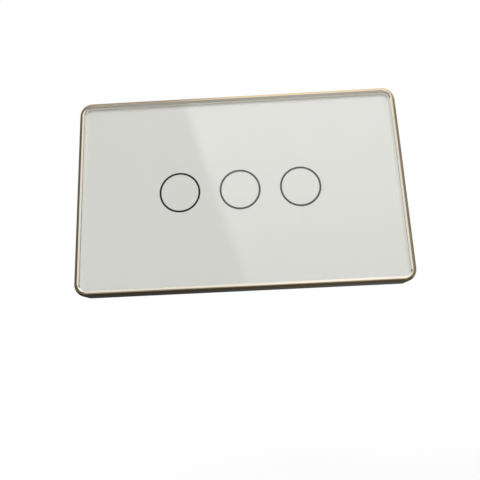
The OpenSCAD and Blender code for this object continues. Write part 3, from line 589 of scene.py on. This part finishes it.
FINISHES = {
    "champagne_metal": anodised_aluminium,
    "clear_glass": tempered_glass,
    "white_print": screen_print,
    "ring_smoke": ring_ink,
    "foam_tape": foam_tape,
    "carrier_plastic": carrier_polycarbonate,
    "white_plastic": white_polycarbonate,
    "zinc_steel": zinc_steel,
    "circuit_board": circuit_board,
    "spring_steel": spring_wire,
    "milky_acrylic": milky_acrylic,
    "led_resin": led_resin,
    "black_resin": black_resin,
    "relay_cover": relay_cover,
    "soft_iron": soft_iron,
    "contact_bronze": contact_bronze,
    "bobbin_nylon": bobbin_nylon,
    "copper_wire": copper_wire,
    "tinned_copper": tinned_copper,
    "ferrite": ferrite,
    "amber_tape": amber_tape,
    "yellow_film": yellow_film,
    "fuse_glass": fuse_ceramic,
    "blue_epoxy": blue_epoxy,
    "terminal_plastic": terminal_nylon,
    "terminal_brass": terminal_brass,
    "plated_steel": plated_steel,
}
made_finishes = {}


def finish_of(slot):
    """The material of a slot, made when it is first asked for."""
    if slot not in made_finishes:
        made_finishes[slot] = FINISHES[slot](bpy.context.scene.touch_switch.colours)
    return made_finishes[slot]


# Modelling


def only(piece):
    """Make one object the selected and active one."""
    bpy.ops.object.select_all(action="DESELECT")
    piece.select_set(True)
    bpy.context.view_layer.objects.active = piece


def paint(*nodes):
    """Give solids that stay as they are the material of their slot."""
    for node in nodes:
        solid = frame["nodes"][node]
        solid.data.materials.clear()
        solid.data.materials.append(finish_of(SLOT_OF[node]))


def join_body(piece, body, slot):
    """Give a finished piece its material, and let it ride on a body."""
    piece.data.materials.clear()
    piece.data.materials.append(finish_of(slot))
    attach(piece, body)
    return piece


def merged_copy(node):
    """A copy of a solid, with its loose triangles merged into whole faces.

    A face with holes has to be parted somewhere. Straight cuts down and across the middle part it squarely,
    so that its rounded edges don't cross.
    """
    piece = bpy.data.objects.new(node + "_finished", frame["nodes"][node].data.copy())
    bpy.context.scene.collection.objects.link(piece)
    only(piece)
    bpy.ops.mesh.customdata_custom_splitnormals_clear()
    bpy.ops.object.mode_set(mode="EDIT")
    bpy.ops.mesh.select_all(action="SELECT")
    bpy.ops.mesh.remove_doubles(threshold=SAME_POINT)
    for across in ((1, 0, 0), (0, 0, 1)):
        bpy.ops.mesh.select_all(action="SELECT")
        bpy.ops.mesh.bisect(plane_co=(0, 0, 0), plane_no=across)
        bpy.ops.mesh.mark_seam()
    bpy.ops.mesh.select_all(action="SELECT")
    bpy.ops.mesh.dissolve_limited(angle_limit=FLAT_ANGLE, delimit={"SEAM"})
    bpy.ops.object.mode_set(mode="OBJECT")
    return piece


def soft_edges(piece, edge, segments=2):
    """Round the sharp edges of a piece, and shade it so that flat faces stay flat."""
    only(piece)
    bevel = piece.modifiers.new("edges", "BEVEL")
    bevel.width = edge
    bevel.segments = segments
    bevel.limit_method = "ANGLE"
    bevel.angle_limit = SHARP_ANGLE
    bevel.use_clamp_overlap = False
    bpy.ops.object.modifier_apply(modifier=bevel.name)
    bpy.ops.object.shade_smooth_by_angle(angle=SHARP_ANGLE)
    weighted = piece.modifiers.new("flat faces", "WEIGHTED_NORMAL")
    weighted.keep_sharp = True
    bpy.ops.object.modifier_apply(modifier=weighted.name)


def stand_in(piece, node):
    """Let a finished piece ride with its solid, get the solid's material and replace it."""
    join_body(piece, BODY_OF[node], SLOT_OF[node])
    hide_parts(node)


def soften(node, edge, segments=2, shape=None):
    """A soft-edged copy of a solid, which replaces it. shape is a function that adds detail to the copy."""
    piece = merged_copy(node)
    if shape:
        shape(piece)
    soft_edges(piece, edge, segments)
    stand_in(piece, node)
    return piece


def pick_faces(piece, test):
    """Select the faces of a piece whose middle and normal pass a test, in edit mode."""
    only(piece)
    bpy.ops.object.mode_set(mode="EDIT")
    bpy.ops.mesh.select_mode(type="FACE")
    bpy.ops.mesh.select_all(action="DESELECT")
    bpy.ops.object.mode_set(mode="OBJECT")
    for face in piece.data.polygons:
        face.select = test(face.center, face.normal)
    bpy.ops.object.mode_set(mode="EDIT")


def second_finish(piece, material, test):
    """Give the faces of a piece that pass a test another material."""
    piece.data.materials.append(material)
    pick_faces(piece, test)
    piece.active_material_index = len(piece.data.materials) - 1
    bpy.ops.object.material_slot_assign()
    bpy.ops.object.mode_set(mode="OBJECT")


def faces_in(middle, normal):
    """Whether a face of the frame looks towards the middle of the plate, and not to the back."""
    inwards = -(normal.x * middle.x + normal.z * middle.z) / math.hypot(middle.x, middle.z)
    return normal.y < LEANING and inwards > BARELY


def side_walls(middle, normal):
    """Whether a face of the frame is a wall beside the left or right edge of the glass, where light is
    painted on.
    """
    return faces_in(middle, normal) and abs(normal.y) < LEANING and abs(normal.x) > abs(normal.z)


def print_border():
    """A test for the faces on the edge of the print, save along its top."""
    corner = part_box("white_print")[1]

    def on_border(middle, normal):
        outermost = max(abs(middle.x) / corner.x, abs(middle.z) / corner.z) > PRINT_EDGE
        return outermost and abs(normal.y) < LEANING and normal.z < LEANING

    return on_border


def seat_growth(node, seat):
    """The scale that takes the edge of a piece of the face out into its seat."""
    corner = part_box(node)[1]
    return (1 + seat / corner.x, 1, 1 + seat / corner.z)


class SwitchOperator:
    """What the operators share."""

    bl_options = {"REGISTER", "UNDO"}


class SWITCH_OT_metal_frame(SwitchOperator, bpy.types.Operator):
    """Finish the anodised frame around the glass"""

    bl_idname = "touch_switch.metal_frame"
    bl_label = "Metal frame"

    def execute(self, context):
        settings = context.scene.touch_switch
        rim = soften("gold_frame", settings.sizes.metal_edge)
        # The inward faces get the paler metal as a painted highlight.
        second_finish(rim, painted_highlight_bevel_metal(settings.colours), faces_in)
        # The walls beside the left and right edges of the glass get a pale finish as painted light.
        second_finish(rim, painted_side_wall_light(settings.colours), side_walls)
        # The polished glass edge sends soft light back to the print, so the rim doesn't take it away.
        rim.visible_diffuse = False
        return {"FINISHED"}


class SWITCH_OT_glass_face(SwitchOperator, bpy.types.Operator):
    """Finish the glass, the print behind it and its three rings"""

    bl_idname = "touch_switch.glass_face"
    bl_label = "Glass face"

    def execute(self, context):
        sizes = context.scene.touch_switch.sizes
        glass = merged_copy("glass_panel")
        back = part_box("glass_panel")[1].y
        pick_faces(glass, lambda middle, normal: normal.y > STRAIGHT and middle.y > back - SAME_POINT)
        bpy.ops.transform.translate(value=(0, -sizes.glass_air, 0))
        bpy.ops.mesh.select_all(action="SELECT")
        growth = seat_growth("glass_panel", sizes.glass_seat)
        bpy.ops.transform.resize(value=growth, center_override=(0, 0, 0))
        bpy.ops.object.mode_set(mode="OBJECT")
        soft_edges(glass, sizes.glass_edge)
        stand_in(glass, "glass_panel")
        # Soft light reaches the print as through a window pane, without the grain of light bent by glass.
        glass.visible_diffuse = False
        glass.visible_shadow = False
        # The print is bedded like the glass, save along the top, so that no dark slit shows beside it.
        ink = merged_copy("white_print")
        pick_faces(ink, print_border())
        growth = seat_growth("white_print", sizes.glass_seat)
        bpy.ops.transform.resize(value=growth, center_override=(0, 0, 0))
        bpy.ops.object.mode_set(mode="OBJECT")
        stand_in(ink, "white_print")
        paint(*[f"touch_ring_{side}" for side in SIDES])
        return {"FINISHED"}


class SWITCH_OT_carrier(SwitchOperator, bpy.types.Operator):
    """Finish the carrier behind the glass, its tape and its screws"""

    bl_idname = "touch_switch.carrier"
    bl_label = "Carrier"

    def execute(self, context):
        sizes = context.scene.touch_switch.sizes
        soften("glass_carrier", sizes.small_edge)
        soften("frame_screws", sizes.screw_edge)
        paint("adhesive_gasket")
        return {"FINISHED"}


class SWITCH_OT_wall_base(SwitchOperator, bpy.types.Operator):
    """Finish the wall base, the rear housing and the screws between them"""

    bl_idname = "touch_switch.wall_base"
    bl_label = "Wall base"

    def execute(self, context):
        sizes = context.scene.touch_switch.sizes
        soften("base_frame", sizes.small_edge)
        soften("rear_housing", sizes.moulded_edge, segments=3)
        soften("housing_screws", sizes.screw_edge)
        return {"FINISHED"}


def wind_spring(side, wire):
    """Wind a touch spring by extruding its round section step by step, inside the space of its solid."""
    node = f"touch_spring_{side}"
    low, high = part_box(node)
    middle = (low + high) / 2
    radius = (high.x - low.x - wire) / 2
    rise = (high.y - low.y - wire) / SPRING_TURNS
    start = Vector((middle.x + radius - SPRING_CURL * SPRING_DRAW, high.y - wire / 2, middle.z))
    bpy.ops.object.select_all(action="DESELECT")
    bpy.ops.mesh.primitive_circle_add(
        vertices=WIRE_SIDES, radius=wire / 2, fill_type="NGON", location=start, enter_editmode=True
    )
    spring = bpy.context.object
    turn = 2 * math.pi / SPRING_STEPS
    count = round((SPRING_TURNS + 2 * SPRING_CURL) * SPRING_STEPS)
    for k in range(count):
        share = (k + 0.5) / SPRING_STEPS - SPRING_CURL
        outwards = 0
        climb = 0
        if share < 0:
            outwards = SPRING_DRAW / SPRING_STEPS
        elif share > SPRING_TURNS:
            outwards = -SPRING_DRAW / SPRING_STEPS
        else:
            climb = rise / SPRING_STEPS
        angle = turn * k
        move = (outwards * math.cos(angle), -climb, outwards * math.sin(angle))
        bpy.ops.mesh.extrude_region_move(TRANSFORM_OT_translate={"value": move})
        bpy.ops.transform.rotate(value=turn, orient_axis="Y", center_override=(middle.x, 0, middle.z))
    bpy.ops.mesh.select_all(action="SELECT")
    bpy.ops.mesh.normals_make_consistent(inside=False)
    bpy.ops.object.mode_set(mode="OBJECT")
    bpy.ops.object.transform_apply(location=True, rotation=True, scale=True)
    bpy.ops.object.shade_smooth_by_angle(angle=SHARP_ANGLE)
    spring.name = f"wound_spring_{side}"
    stand_in(spring, node)


def touch_chip_legs(middle, normal):
    """Whether a face is on the legs of the touch chip, above or below its body."""
    on_chip = middle.x < TOUCH_CHIP_END and middle.z < TOUCH_CHIP_TOP
    return on_chip and abs(middle.z - TOUCH_CHIP_ROW) > CHIP_HALF


def rectifier_legs():
    """A test for the faces on the legs of the bridge rectifier, above or below its body."""
    low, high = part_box("bridge_rectifier")
    return lambda middle, normal: abs(middle.z - (low.z + high.z) / 2) > CHIP_HALF


def fuse_caps():
    """A test for the faces on the two caps of the fuse."""
    low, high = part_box("fuse")
    return lambda middle, normal: not low.x + FUSE_CAP < middle.x < high.x - FUSE_CAP


def new_detail(name, node, slot):
    """Leave edit mode, and let the new piece ride with a solid."""
    bpy.ops.mesh.select_all(action="SELECT")
    bpy.ops.mesh.normals_make_consistent(inside=False)
    bpy.ops.object.mode_set(mode="OBJECT")
    bpy.ops.object.transform_apply(location=True, rotation=True, scale=True)
    piece = bpy.context.object
    piece.name = name
    return join_body(piece, BODY_OF[node], slot)


def copy_along(places):
    """Copy what is selected in edit mode from the first place to each of the others."""
    for before, after in zip(places, places[1:]):
        bpy.ops.mesh.duplicate_move(TRANSFORM_OT_translate={"value": after - before})


def spring_pads(width, height):
    """The tinned rings on the touch board that the springs stand on."""
    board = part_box("touch_board")[0].y
    springs = [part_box(f"touch_spring_{side}") for side in SIDES]
    places = [Vector(((low.x + high.x) / 2, board, (low.z + high.z) / 2)) for low, high in springs]
    radius = (springs[0][1].x - springs[0][0].x) / 2 + PAD_MARGIN
    bpy.ops.object.select_all(action="DESELECT")
    bpy.ops.mesh.primitive_circle_add(
        vertices=PAD_SIDES, radius=radius, fill_type="NGON", location=places[0], rotation=UPRIGHT,
        enter_editmode=True,
    )
    bpy.ops.mesh.inset(thickness=width)
    bpy.ops.mesh.delete(type="FACE")
    bpy.ops.mesh.select_all(action="SELECT")
    bpy.ops.mesh.extrude_region_move(TRANSFORM_OT_translate={"value": (0, -height, 0)})
    bpy.ops.mesh.select_all(action="SELECT")
    copy_along(places)
    new_detail("spring_pads", "touch_board", "tinned_copper")
    bpy.ops.object.shade_smooth_by_angle(angle=SHARP_ANGLE)


def header_solder(width, height):
    """The solder that climbs each header pin from the front of the touch board."""
    low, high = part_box("header_pins")
    pins = round((high.x - low.x) / HEADER_PITCH)
    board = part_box("touch_board")[0].y
    row = (low.z + high.z) / 2
    places = [Vector((low.x + (k + 0.5) * HEADER_PITCH, board, row)) for k in range(pins)]
    bpy.ops.object.select_all(action="DESELECT")
    bpy.ops.mesh.primitive_circle_add(
        vertices=SOLDER_SIDES, radius=width / 2, fill_type="NGON", location=places[0], rotation=UPRIGHT,
        enter_editmode=True,
    )
    for rise, narrower in SOLDER_STEPS:
        bpy.ops.mesh.extrude_region_move(TRANSFORM_OT_translate={"value": (0, -rise * height, 0)})
        bpy.ops.transform.resize(value=(narrower, 1, narrower), center_override=places[0])
    bpy.ops.mesh.select_all(action="SELECT")
    copy_along(places)
    new_detail("header_solder", "touch_board", "tinned_copper")
    bpy.ops.object.shade_smooth_by_angle(angle=SHARP_ANGLE)


def tinned_ends(cap, foot, edge):
    """The tinned ends of the small chip parts, with solder that runs out on the board."""
    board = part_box("touch_board")[0].y
    places = [Vector((x * MM, board, z * MM)) for x, z in CHIP_PART_PLACES]
    end = places[0].x + CHIP_PART[0] / 2
    size = Vector((cap, CHIP_PART[2], CHIP_PART[1])) + 2 * Vector((TIN, TIN / 2, TIN))
    middle = Vector((end - cap / 2, board - size.y / 2, places[0].z))
    bpy.ops.object.select_all(action="DESELECT")
    bpy.ops.mesh.primitive_cube_add(size=1, location=middle, enter_editmode=True)
    bpy.ops.transform.resize(value=size, center_override=middle)
    bpy.ops.mesh.select_mode(type="VERT")
    bpy.ops.mesh.select_all(action="DESELECT")
    bpy.ops.object.mode_set(mode="OBJECT")
    for corner in bpy.context.object.data.vertices:
        corner.select = corner.co.x > 0 and corner.co.y > 0
    bpy.ops.object.mode_set(mode="EDIT")
    bpy.ops.transform.translate(value=(foot, 0, 0))
    bpy.ops.mesh.select_all(action="SELECT")
    bpy.ops.mesh.duplicate()
    bpy.ops.transform.rotate(value=math.pi, orient_axis="Y", center_override=places[0])
    bpy.ops.mesh.select_all(action="SELECT")
    copy_along(places)
    soft_edges(new_detail("tinned_ends", "touch_board_chips", "tinned_copper"), edge)


class SWITCH_OT_touch_board(SwitchOperator, bpy.types.Operator):
    """Finish the touch board and what stands on it"""

    bl_idname = "touch_switch.touch_board"
    bl_label = "Touch board"

    def execute(self, context):
        sizes = context.scene.touch_switch.sizes
        for side in SIDES:
            wind_spring(side, sizes.spring_wire)
            soften(f"light_guide_{side}", sizes.small_edge)
        spring_pads(sizes.pad_width, sizes.pad_height)
        tin = finish_of("tinned_copper")
        chips = soften("touch_board_chips", sizes.chip_edge)
        second_finish(chips, tin, touch_chip_legs)
        tinned_ends(sizes.cap_length, sizes.cap_foot, sizes.chip_edge)
        pins = soften("header_pins", sizes.chip_edge)
        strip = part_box("touch_board")[1].y
        second_finish(pins, tin, lambda middle, normal: not 0 <= middle.y - strip <= HEADER_PITCH)
        header_solder(sizes.solder_width, sizes.solder_height)
        for node in ("indicator_leds", "header_socket"):
            soften(node, sizes.chip_edge)
        soften("board_screws", sizes.screw_edge)
        paint("touch_board")
        return {"FINISHED"}


class SWITCH_OT_power_board(SwitchOperator, bpy.types.Operator):
    """Finish the power board and its supply parts"""

    bl_idname = "touch_switch.power_board"
    bl_label = "Power board"

    def execute(self, context):
        sizes = context.scene.touch_switch.sizes
        for node in ("transformer_core", "transformer_coil", "film_capacitor", "varistor"):
            soften(node, sizes.small_edge)
        second_finish(soften("fuse", sizes.small_edge), finish_of("zinc_steel"), fuse_caps())
        rectifier = soften("bridge_rectifier", sizes.chip_edge)
        second_finish(rectifier, finish_of("tinned_copper"), rectifier_legs())
        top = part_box("storage_capacitors")[1].y

        def bare_ends(cans):
            pick_faces(cans, lambda middle, normal: normal.y > STRAIGHT and middle.y > top - SAME_POINT)
            bpy.ops.mesh.inset(thickness=sizes.sleeve_edge)
            bpy.ops.mesh.inset(thickness=sizes.sleeve_edge / 10, depth=-sizes.sleeve_edge / 3)
            bpy.ops.object.mode_set(mode="OBJECT")

        def sunk(middle, normal):
            return normal.y > STRAIGHT and sizes.sleeve_edge / 4 < top - middle.y < sizes.sleeve_edge

        cans = soften("storage_capacitors", sizes.small_edge, shape=bare_ends)
        second_finish(cans, can_aluminium(context.scene.touch_switch.colours), sunk)
        paint("power_board")
        return {"FINISHED"}


class SWITCH_OT_relays(SwitchOperator, bpy.types.Operator):
    """Finish the three relays"""

    bl_idname = "touch_switch.relays"
    bl_label = "Relays"

    def execute(self, context):
        sizes = context.scene.touch_switch.sizes
        for side in SIDES:
            soften(f"relay_case_{side}", sizes.moulded_edge)
            paint(f"relay_base_{side}", f"relay_armature_{side}", f"relay_blade_{side}")
        paint("relay_yokes", "relay_cores", "relay_bobbins", "relay_windings", "relay_pins")
        return {"FINISHED"}


class SWITCH_OT_terminals(SwitchOperator, bpy.types.Operator):
    """Finish the four terminals"""

    bl_idname = "touch_switch.terminals"
    bl_label = "Terminals"

    def execute(self, context):
        sizes = context.scene.touch_switch.sizes
        soften("terminal_blocks", sizes.screw_edge)
        for pole in POLES:
            soften(f"terminal_screw_{pole}", sizes.screw_edge)
            soften(f"terminal_clamp_{pole}", sizes.screw_edge)
        paint("terminal_contacts")
        return {"FINISHED"}


# Studio

# Each lamp: its name, its place and width in millimetres, and its watts.
LAMPS = (
    ("key_lamp", (60, -740, 270), 180, 1.9),
    ("fill_lamp", (-60, -800, 60), 500, 0.8),
    ("back_lamp", (-300, 480, 420), 420, 1.6),
)
# Each card: its name, its place, turn and size (lengths in millimetres), its material and its shades.
CARDS = (
    ("low_flag", (0, 290, -75), LEVEL, (600, 830), "Dark cloth below", {"left": 0.05, "right": 0.09}),
    ("front_flag", (0, -515, -75), LEVEL, (900, 780), "Grey cloth in front", {"left": 0.42, "right": 0.52}),
    ("rear_flag", (0, 120, -68), UPRIGHT, (400, 105), "Dark cloth behind", {"left": 0.05, "right": 0.09}),
    ("left_flag", (-120, -5, -10), SIDEWAYS, (370, 280), "Dark cloth left", {"left": 0.155, "right": 0.155}),
    ("right_flag", (120, -20, -2), SIDEWAYS, (410, 296), "Dark cloth right", {"left": 0.27, "right": 0.27}),
    (
        "top_flag", (0, 33, 60), LEVEL, (300, 136), "Grey cloth above",
        {"left": 0.37, "right": 1.0, "edge_mm": -14, "soft_mm": 22},
    ),
    (
        "top_card", (0, -150, 700), LEVEL, (2400, 1700), "White paper above",
        {"left": 1.0, "right": 1.25, "soft_mm": 200},
    ),
    (
        "window_card", (-50, -900, 270), UPRIGHT, (800, 700), "Soft window",
        {"left": 0.22, "right": 1.45, "soft_mm": 16, "lean": 0.307, "foot": 0.45, "hem": 0.47},
    ),
)
# The height at which a card has its full strength, and the depth at which it has run out to its hem.
FULL_HEIGHT = 350 * MM
HEM_DEPTH = 75 * MM
# The distances along the floor between which it runs out to plain white.
FLOOR_NEAR = 120 * MM
FLOOR_FAR = 500 * MM
FLOOR_WIDTH = 6000 * MM
# The camera sees nothing that is nearer than this.
CLOSEST = 5 * MM
WHITE = (1, 1, 1, 1)


def aim(thing, target):
    """Turn a lamp or the camera so that it looks at a point."""
    thing.rotation_euler = (Vector(target) - thing.location).to_track_quat("-Z", "Y").to_euler()


def lamp(name, place_mm, size_mm, watts):
    """A square soft lamp that looks at the plate, and that shows in no reflection."""
    bpy.ops.object.light_add(type="AREA", location=[c * MM for c in place_mm])
    light = bpy.context.object
    light.name = name
    light.data.size = size_mm * MM
    light.data.energy = watts
    light.visible_glossy = False
    light.visible_transmission = False
    aim(light, (0, 0, 0))


def card(name, place_mm, turn, size_mm, material):
    """A studio card that only gloss and glass show, as a photographer's flags and reflectors do."""
    bpy.ops.object.select_all(action="DESELECT")
    bpy.ops.mesh.primitive_plane_add(size=1, location=[c * MM for c in place_mm], rotation=turn)
    board = bpy.context.object
    board.name = name
    board.scale = (size_mm[0] * MM, size_mm[1] * MM, 1)
    bpy.ops.object.transform_apply(location=True, rotation=True, scale=True)
    board.data.materials.append(material)
    board.visible_camera = False
    board.visible_diffuse = False
    board.visible_shadow = False


def card_material(name, left, right, edge_mm=0, soft_mm=60, lean=0, foot=1, hem=0):
    # Cloth or paper under studio light, with a soft step from its left to its right shade, and foot of that
    # strength at the plate's height. A hem is the shade that it runs out to below the plate.
    material, tree, spot = empty_material(name)
    place = add_node(tree, "ShaderNodeSeparateXYZ", {"Vector": spot}, out=None)
    across = add_node(
        tree, "ShaderNodeMath", {0: place["Z"], 1: lean, 2: place["X"]}, operation="MULTIPLY_ADD"
    )
    step = {"From Min": (edge_mm - soft_mm) * MM, "From Max": (edge_mm + soft_mm) * MM}
    glow = add_node(
        tree, "ShaderNodeMapRange", {"Value": across, **step, "To Min": left, "To Max": right},
        interpolation_type="SMOOTHSTEP",
    )
    fade = add_node(
        tree, "ShaderNodeMapRange", {"Value": place["Z"], "From Max": FULL_HEIGHT, "To Min": foot}
    )
    glow = add_node(tree, "ShaderNodeMath", {0: glow, 1: fade}, operation="MULTIPLY")
    if hem:
        below = add_node(
            tree, "ShaderNodeMapRange", {"Value": place["Z"], "From Min": 0, "From Max": -HEM_DEPTH}
        )
        glow = add_node(tree, "ShaderNodeMix", {0: below, 2: glow, 3: hem})
    light = add_node(tree, "ShaderNodeEmission", {"Color": WHITE, "Strength": glow})
    add_node(tree, "ShaderNodeOutputMaterial", {"Surface": light}, out=None)
    return material


def seen_directly(tree):
    """A value that is 1 for what the camera, gloss and glass see, and 0 for soft light."""
    path = add_node(tree, "ShaderNodeLightPath", out=None)
    seen = add_node(
        tree, "ShaderNodeMath", {0: path["Is Camera Ray"], 1: path["Is Glossy Ray"]}, operation="MAXIMUM"
    )
    return add_node(
        tree, "ShaderNodeMath", {0: seen, 1: path["Is Transmission Ray"]}, operation="MAXIMUM"
    )


def studio_world(strength):
    """Even light from all around, which the camera, gloss and glass see as plain white."""
    world = bpy.data.worlds.new("Studio")
    bpy.context.scene.world = world
    world.use_nodes = True
    tree = world.node_tree
    tree.nodes.clear()
    light = add_node(tree, "ShaderNodeBackground", {"Color": WHITE, "Strength": strength})
    white = add_node(tree, "ShaderNodeBackground", {"Color": WHITE, "Strength": 1.0})
    both = add_node(tree, "ShaderNodeMixShader", {0: seen_directly(tree), 1: light, 2: white})
    add_node(tree, "ShaderNodeOutputWorld", {"Surface": both}, out=None)


def floor_material():
    # A sweep of matt white paper: it keeps the soft shadow under the part, and runs out to plain white.
    cloud = 40 * MM
    near_share = 0.5
    near_strength = 1.15
    material, tree, spot = empty_material("White paper floor")
    fibre = add_node(tree, "ShaderNodeTexNoise", {"Vector": spot, "Scale": 1 / cloud, "Detail": 3})
    tone = add_node(
        tree, "ShaderNodeMix", {0: fibre, 6: (0.88, 0.88, 0.88, 1), 7: (0.9, 0.9, 0.9, 1)}, out=2,
        data_type="RGBA",
    )
    paper = add_node(tree, "ShaderNodeBsdfDiffuse", {"Color": tone})
    away = add_node(tree, "ShaderNodeVectorMath", {0: spot}, out="Value", operation="LENGTH")
    reach = {"Value": away, "From Min": FLOOR_NEAR, "From Max": FLOOR_FAR}
    share = add_node(
        tree, "ShaderNodeMapRange", {**reach, "To Min": near_share}, interpolation_type="SMOOTHSTEP"
    )
    share = add_node(tree, "ShaderNodeMath", {0: share, 1: seen_directly(tree)}, operation="MULTIPLY")
    strength = add_node(
        tree, "ShaderNodeMapRange", {**reach, "To Min": near_strength}, interpolation_type="SMOOTHSTEP"
    )
    lift = add_node(tree, "ShaderNodeEmission", {"Color": WHITE, "Strength": strength})
    both = add_node(tree, "ShaderNodeMixShader", {0: share, 1: paper, 2: lift})
    add_node(tree, "ShaderNodeOutputMaterial", {"Surface": both}, out=None)
    return material


class SWITCH_OT_stage(SwitchOperator, bpy.types.Operator):
    """Set up the floor, the soft light and the camera"""

    bl_idname = "touch_switch.stage"
    bl_label = "Stage"

    def execute(self, context):
        studio = context.scene.touch_switch.studio
        context.scene.view_settings.view_transform = "Standard"
        bpy.ops.object.select_all(action="DESELECT")
        bpy.ops.mesh.primitive_plane_add(size=FLOOR_WIDTH, location=(0, 0, -studio.floor_drop))
        floor = context.object
        floor.name = "paper_floor"
        floor.data.materials.append(floor_material())
        studio_world(studio.sky_light)
        for values in LAMPS:
            lamp(*values)
        for name, place, turn, size, cloth, shades in CARDS:
            card(name, place, turn, size, card_material(cloth, **shades))
        bpy.ops.object.camera_add(location=studio.camera_place)
        camera = context.object
        camera.name = "photo_camera"
        aim(camera, studio.camera_aim)
        look = camera.rotation_euler.to_quaternion() @ Quaternion((0, 0, 1), -studio.camera_roll)
        camera.rotation_euler = look.to_euler()
        camera.data.lens = studio.lens
        camera.data.shift_y = studio.shift
        camera.data.clip_start = CLOSEST
        context.scene.camera = camera
        return {"FINISHED"}


OPERATORS = (
    SWITCH_OT_metal_frame,
    SWITCH_OT_glass_face,
    SWITCH_OT_carrier,
    SWITCH_OT_wall_base,
    SWITCH_OT_touch_board,
    SWITCH_OT_power_board,
    SWITCH_OT_relays,
    SWITCH_OT_terminals,
    SWITCH_OT_stage,
)


class VIEW3D_PT_touch_switch(bpy.types.Panel):
    """The sidebar list of what can be finished"""

    bl_label = "Touch switch"
    bl_space_type = "VIEW_3D"
    bl_region_type = "UI"
    bl_category = "Switch"

    def draw(self, context):
        for operator in OPERATORS:
            self.layout.operator(operator.bl_idname)


CLASSES = (SwitchSizes, SwitchColours, SwitchStudio, SwitchSettings, *OPERATORS, VIEW3D_PT_touch_switch)


def register():
    for item in CLASSES:
        bpy.utils.register_class(item)
    bpy.types.Scene.touch_switch = bpy.props.PointerProperty(type=SwitchSettings)


def unregister():
    del bpy.types.Scene.touch_switch
    for item in reversed(CLASSES):
        bpy.utils.unregister_class(item)


def main():
    register()
    bpy.ops.touch_switch.metal_frame()
    bpy.ops.touch_switch.glass_face()
    bpy.ops.touch_switch.carrier()
    bpy.ops.touch_switch.wall_base()
    bpy.ops.touch_switch.touch_board()
    bpy.ops.touch_switch.power_board()
    bpy.ops.touch_switch.relays()
    bpy.ops.touch_switch.terminals()
    bpy.ops.touch_switch.stage()


if __name__ == "__main__":
    main()
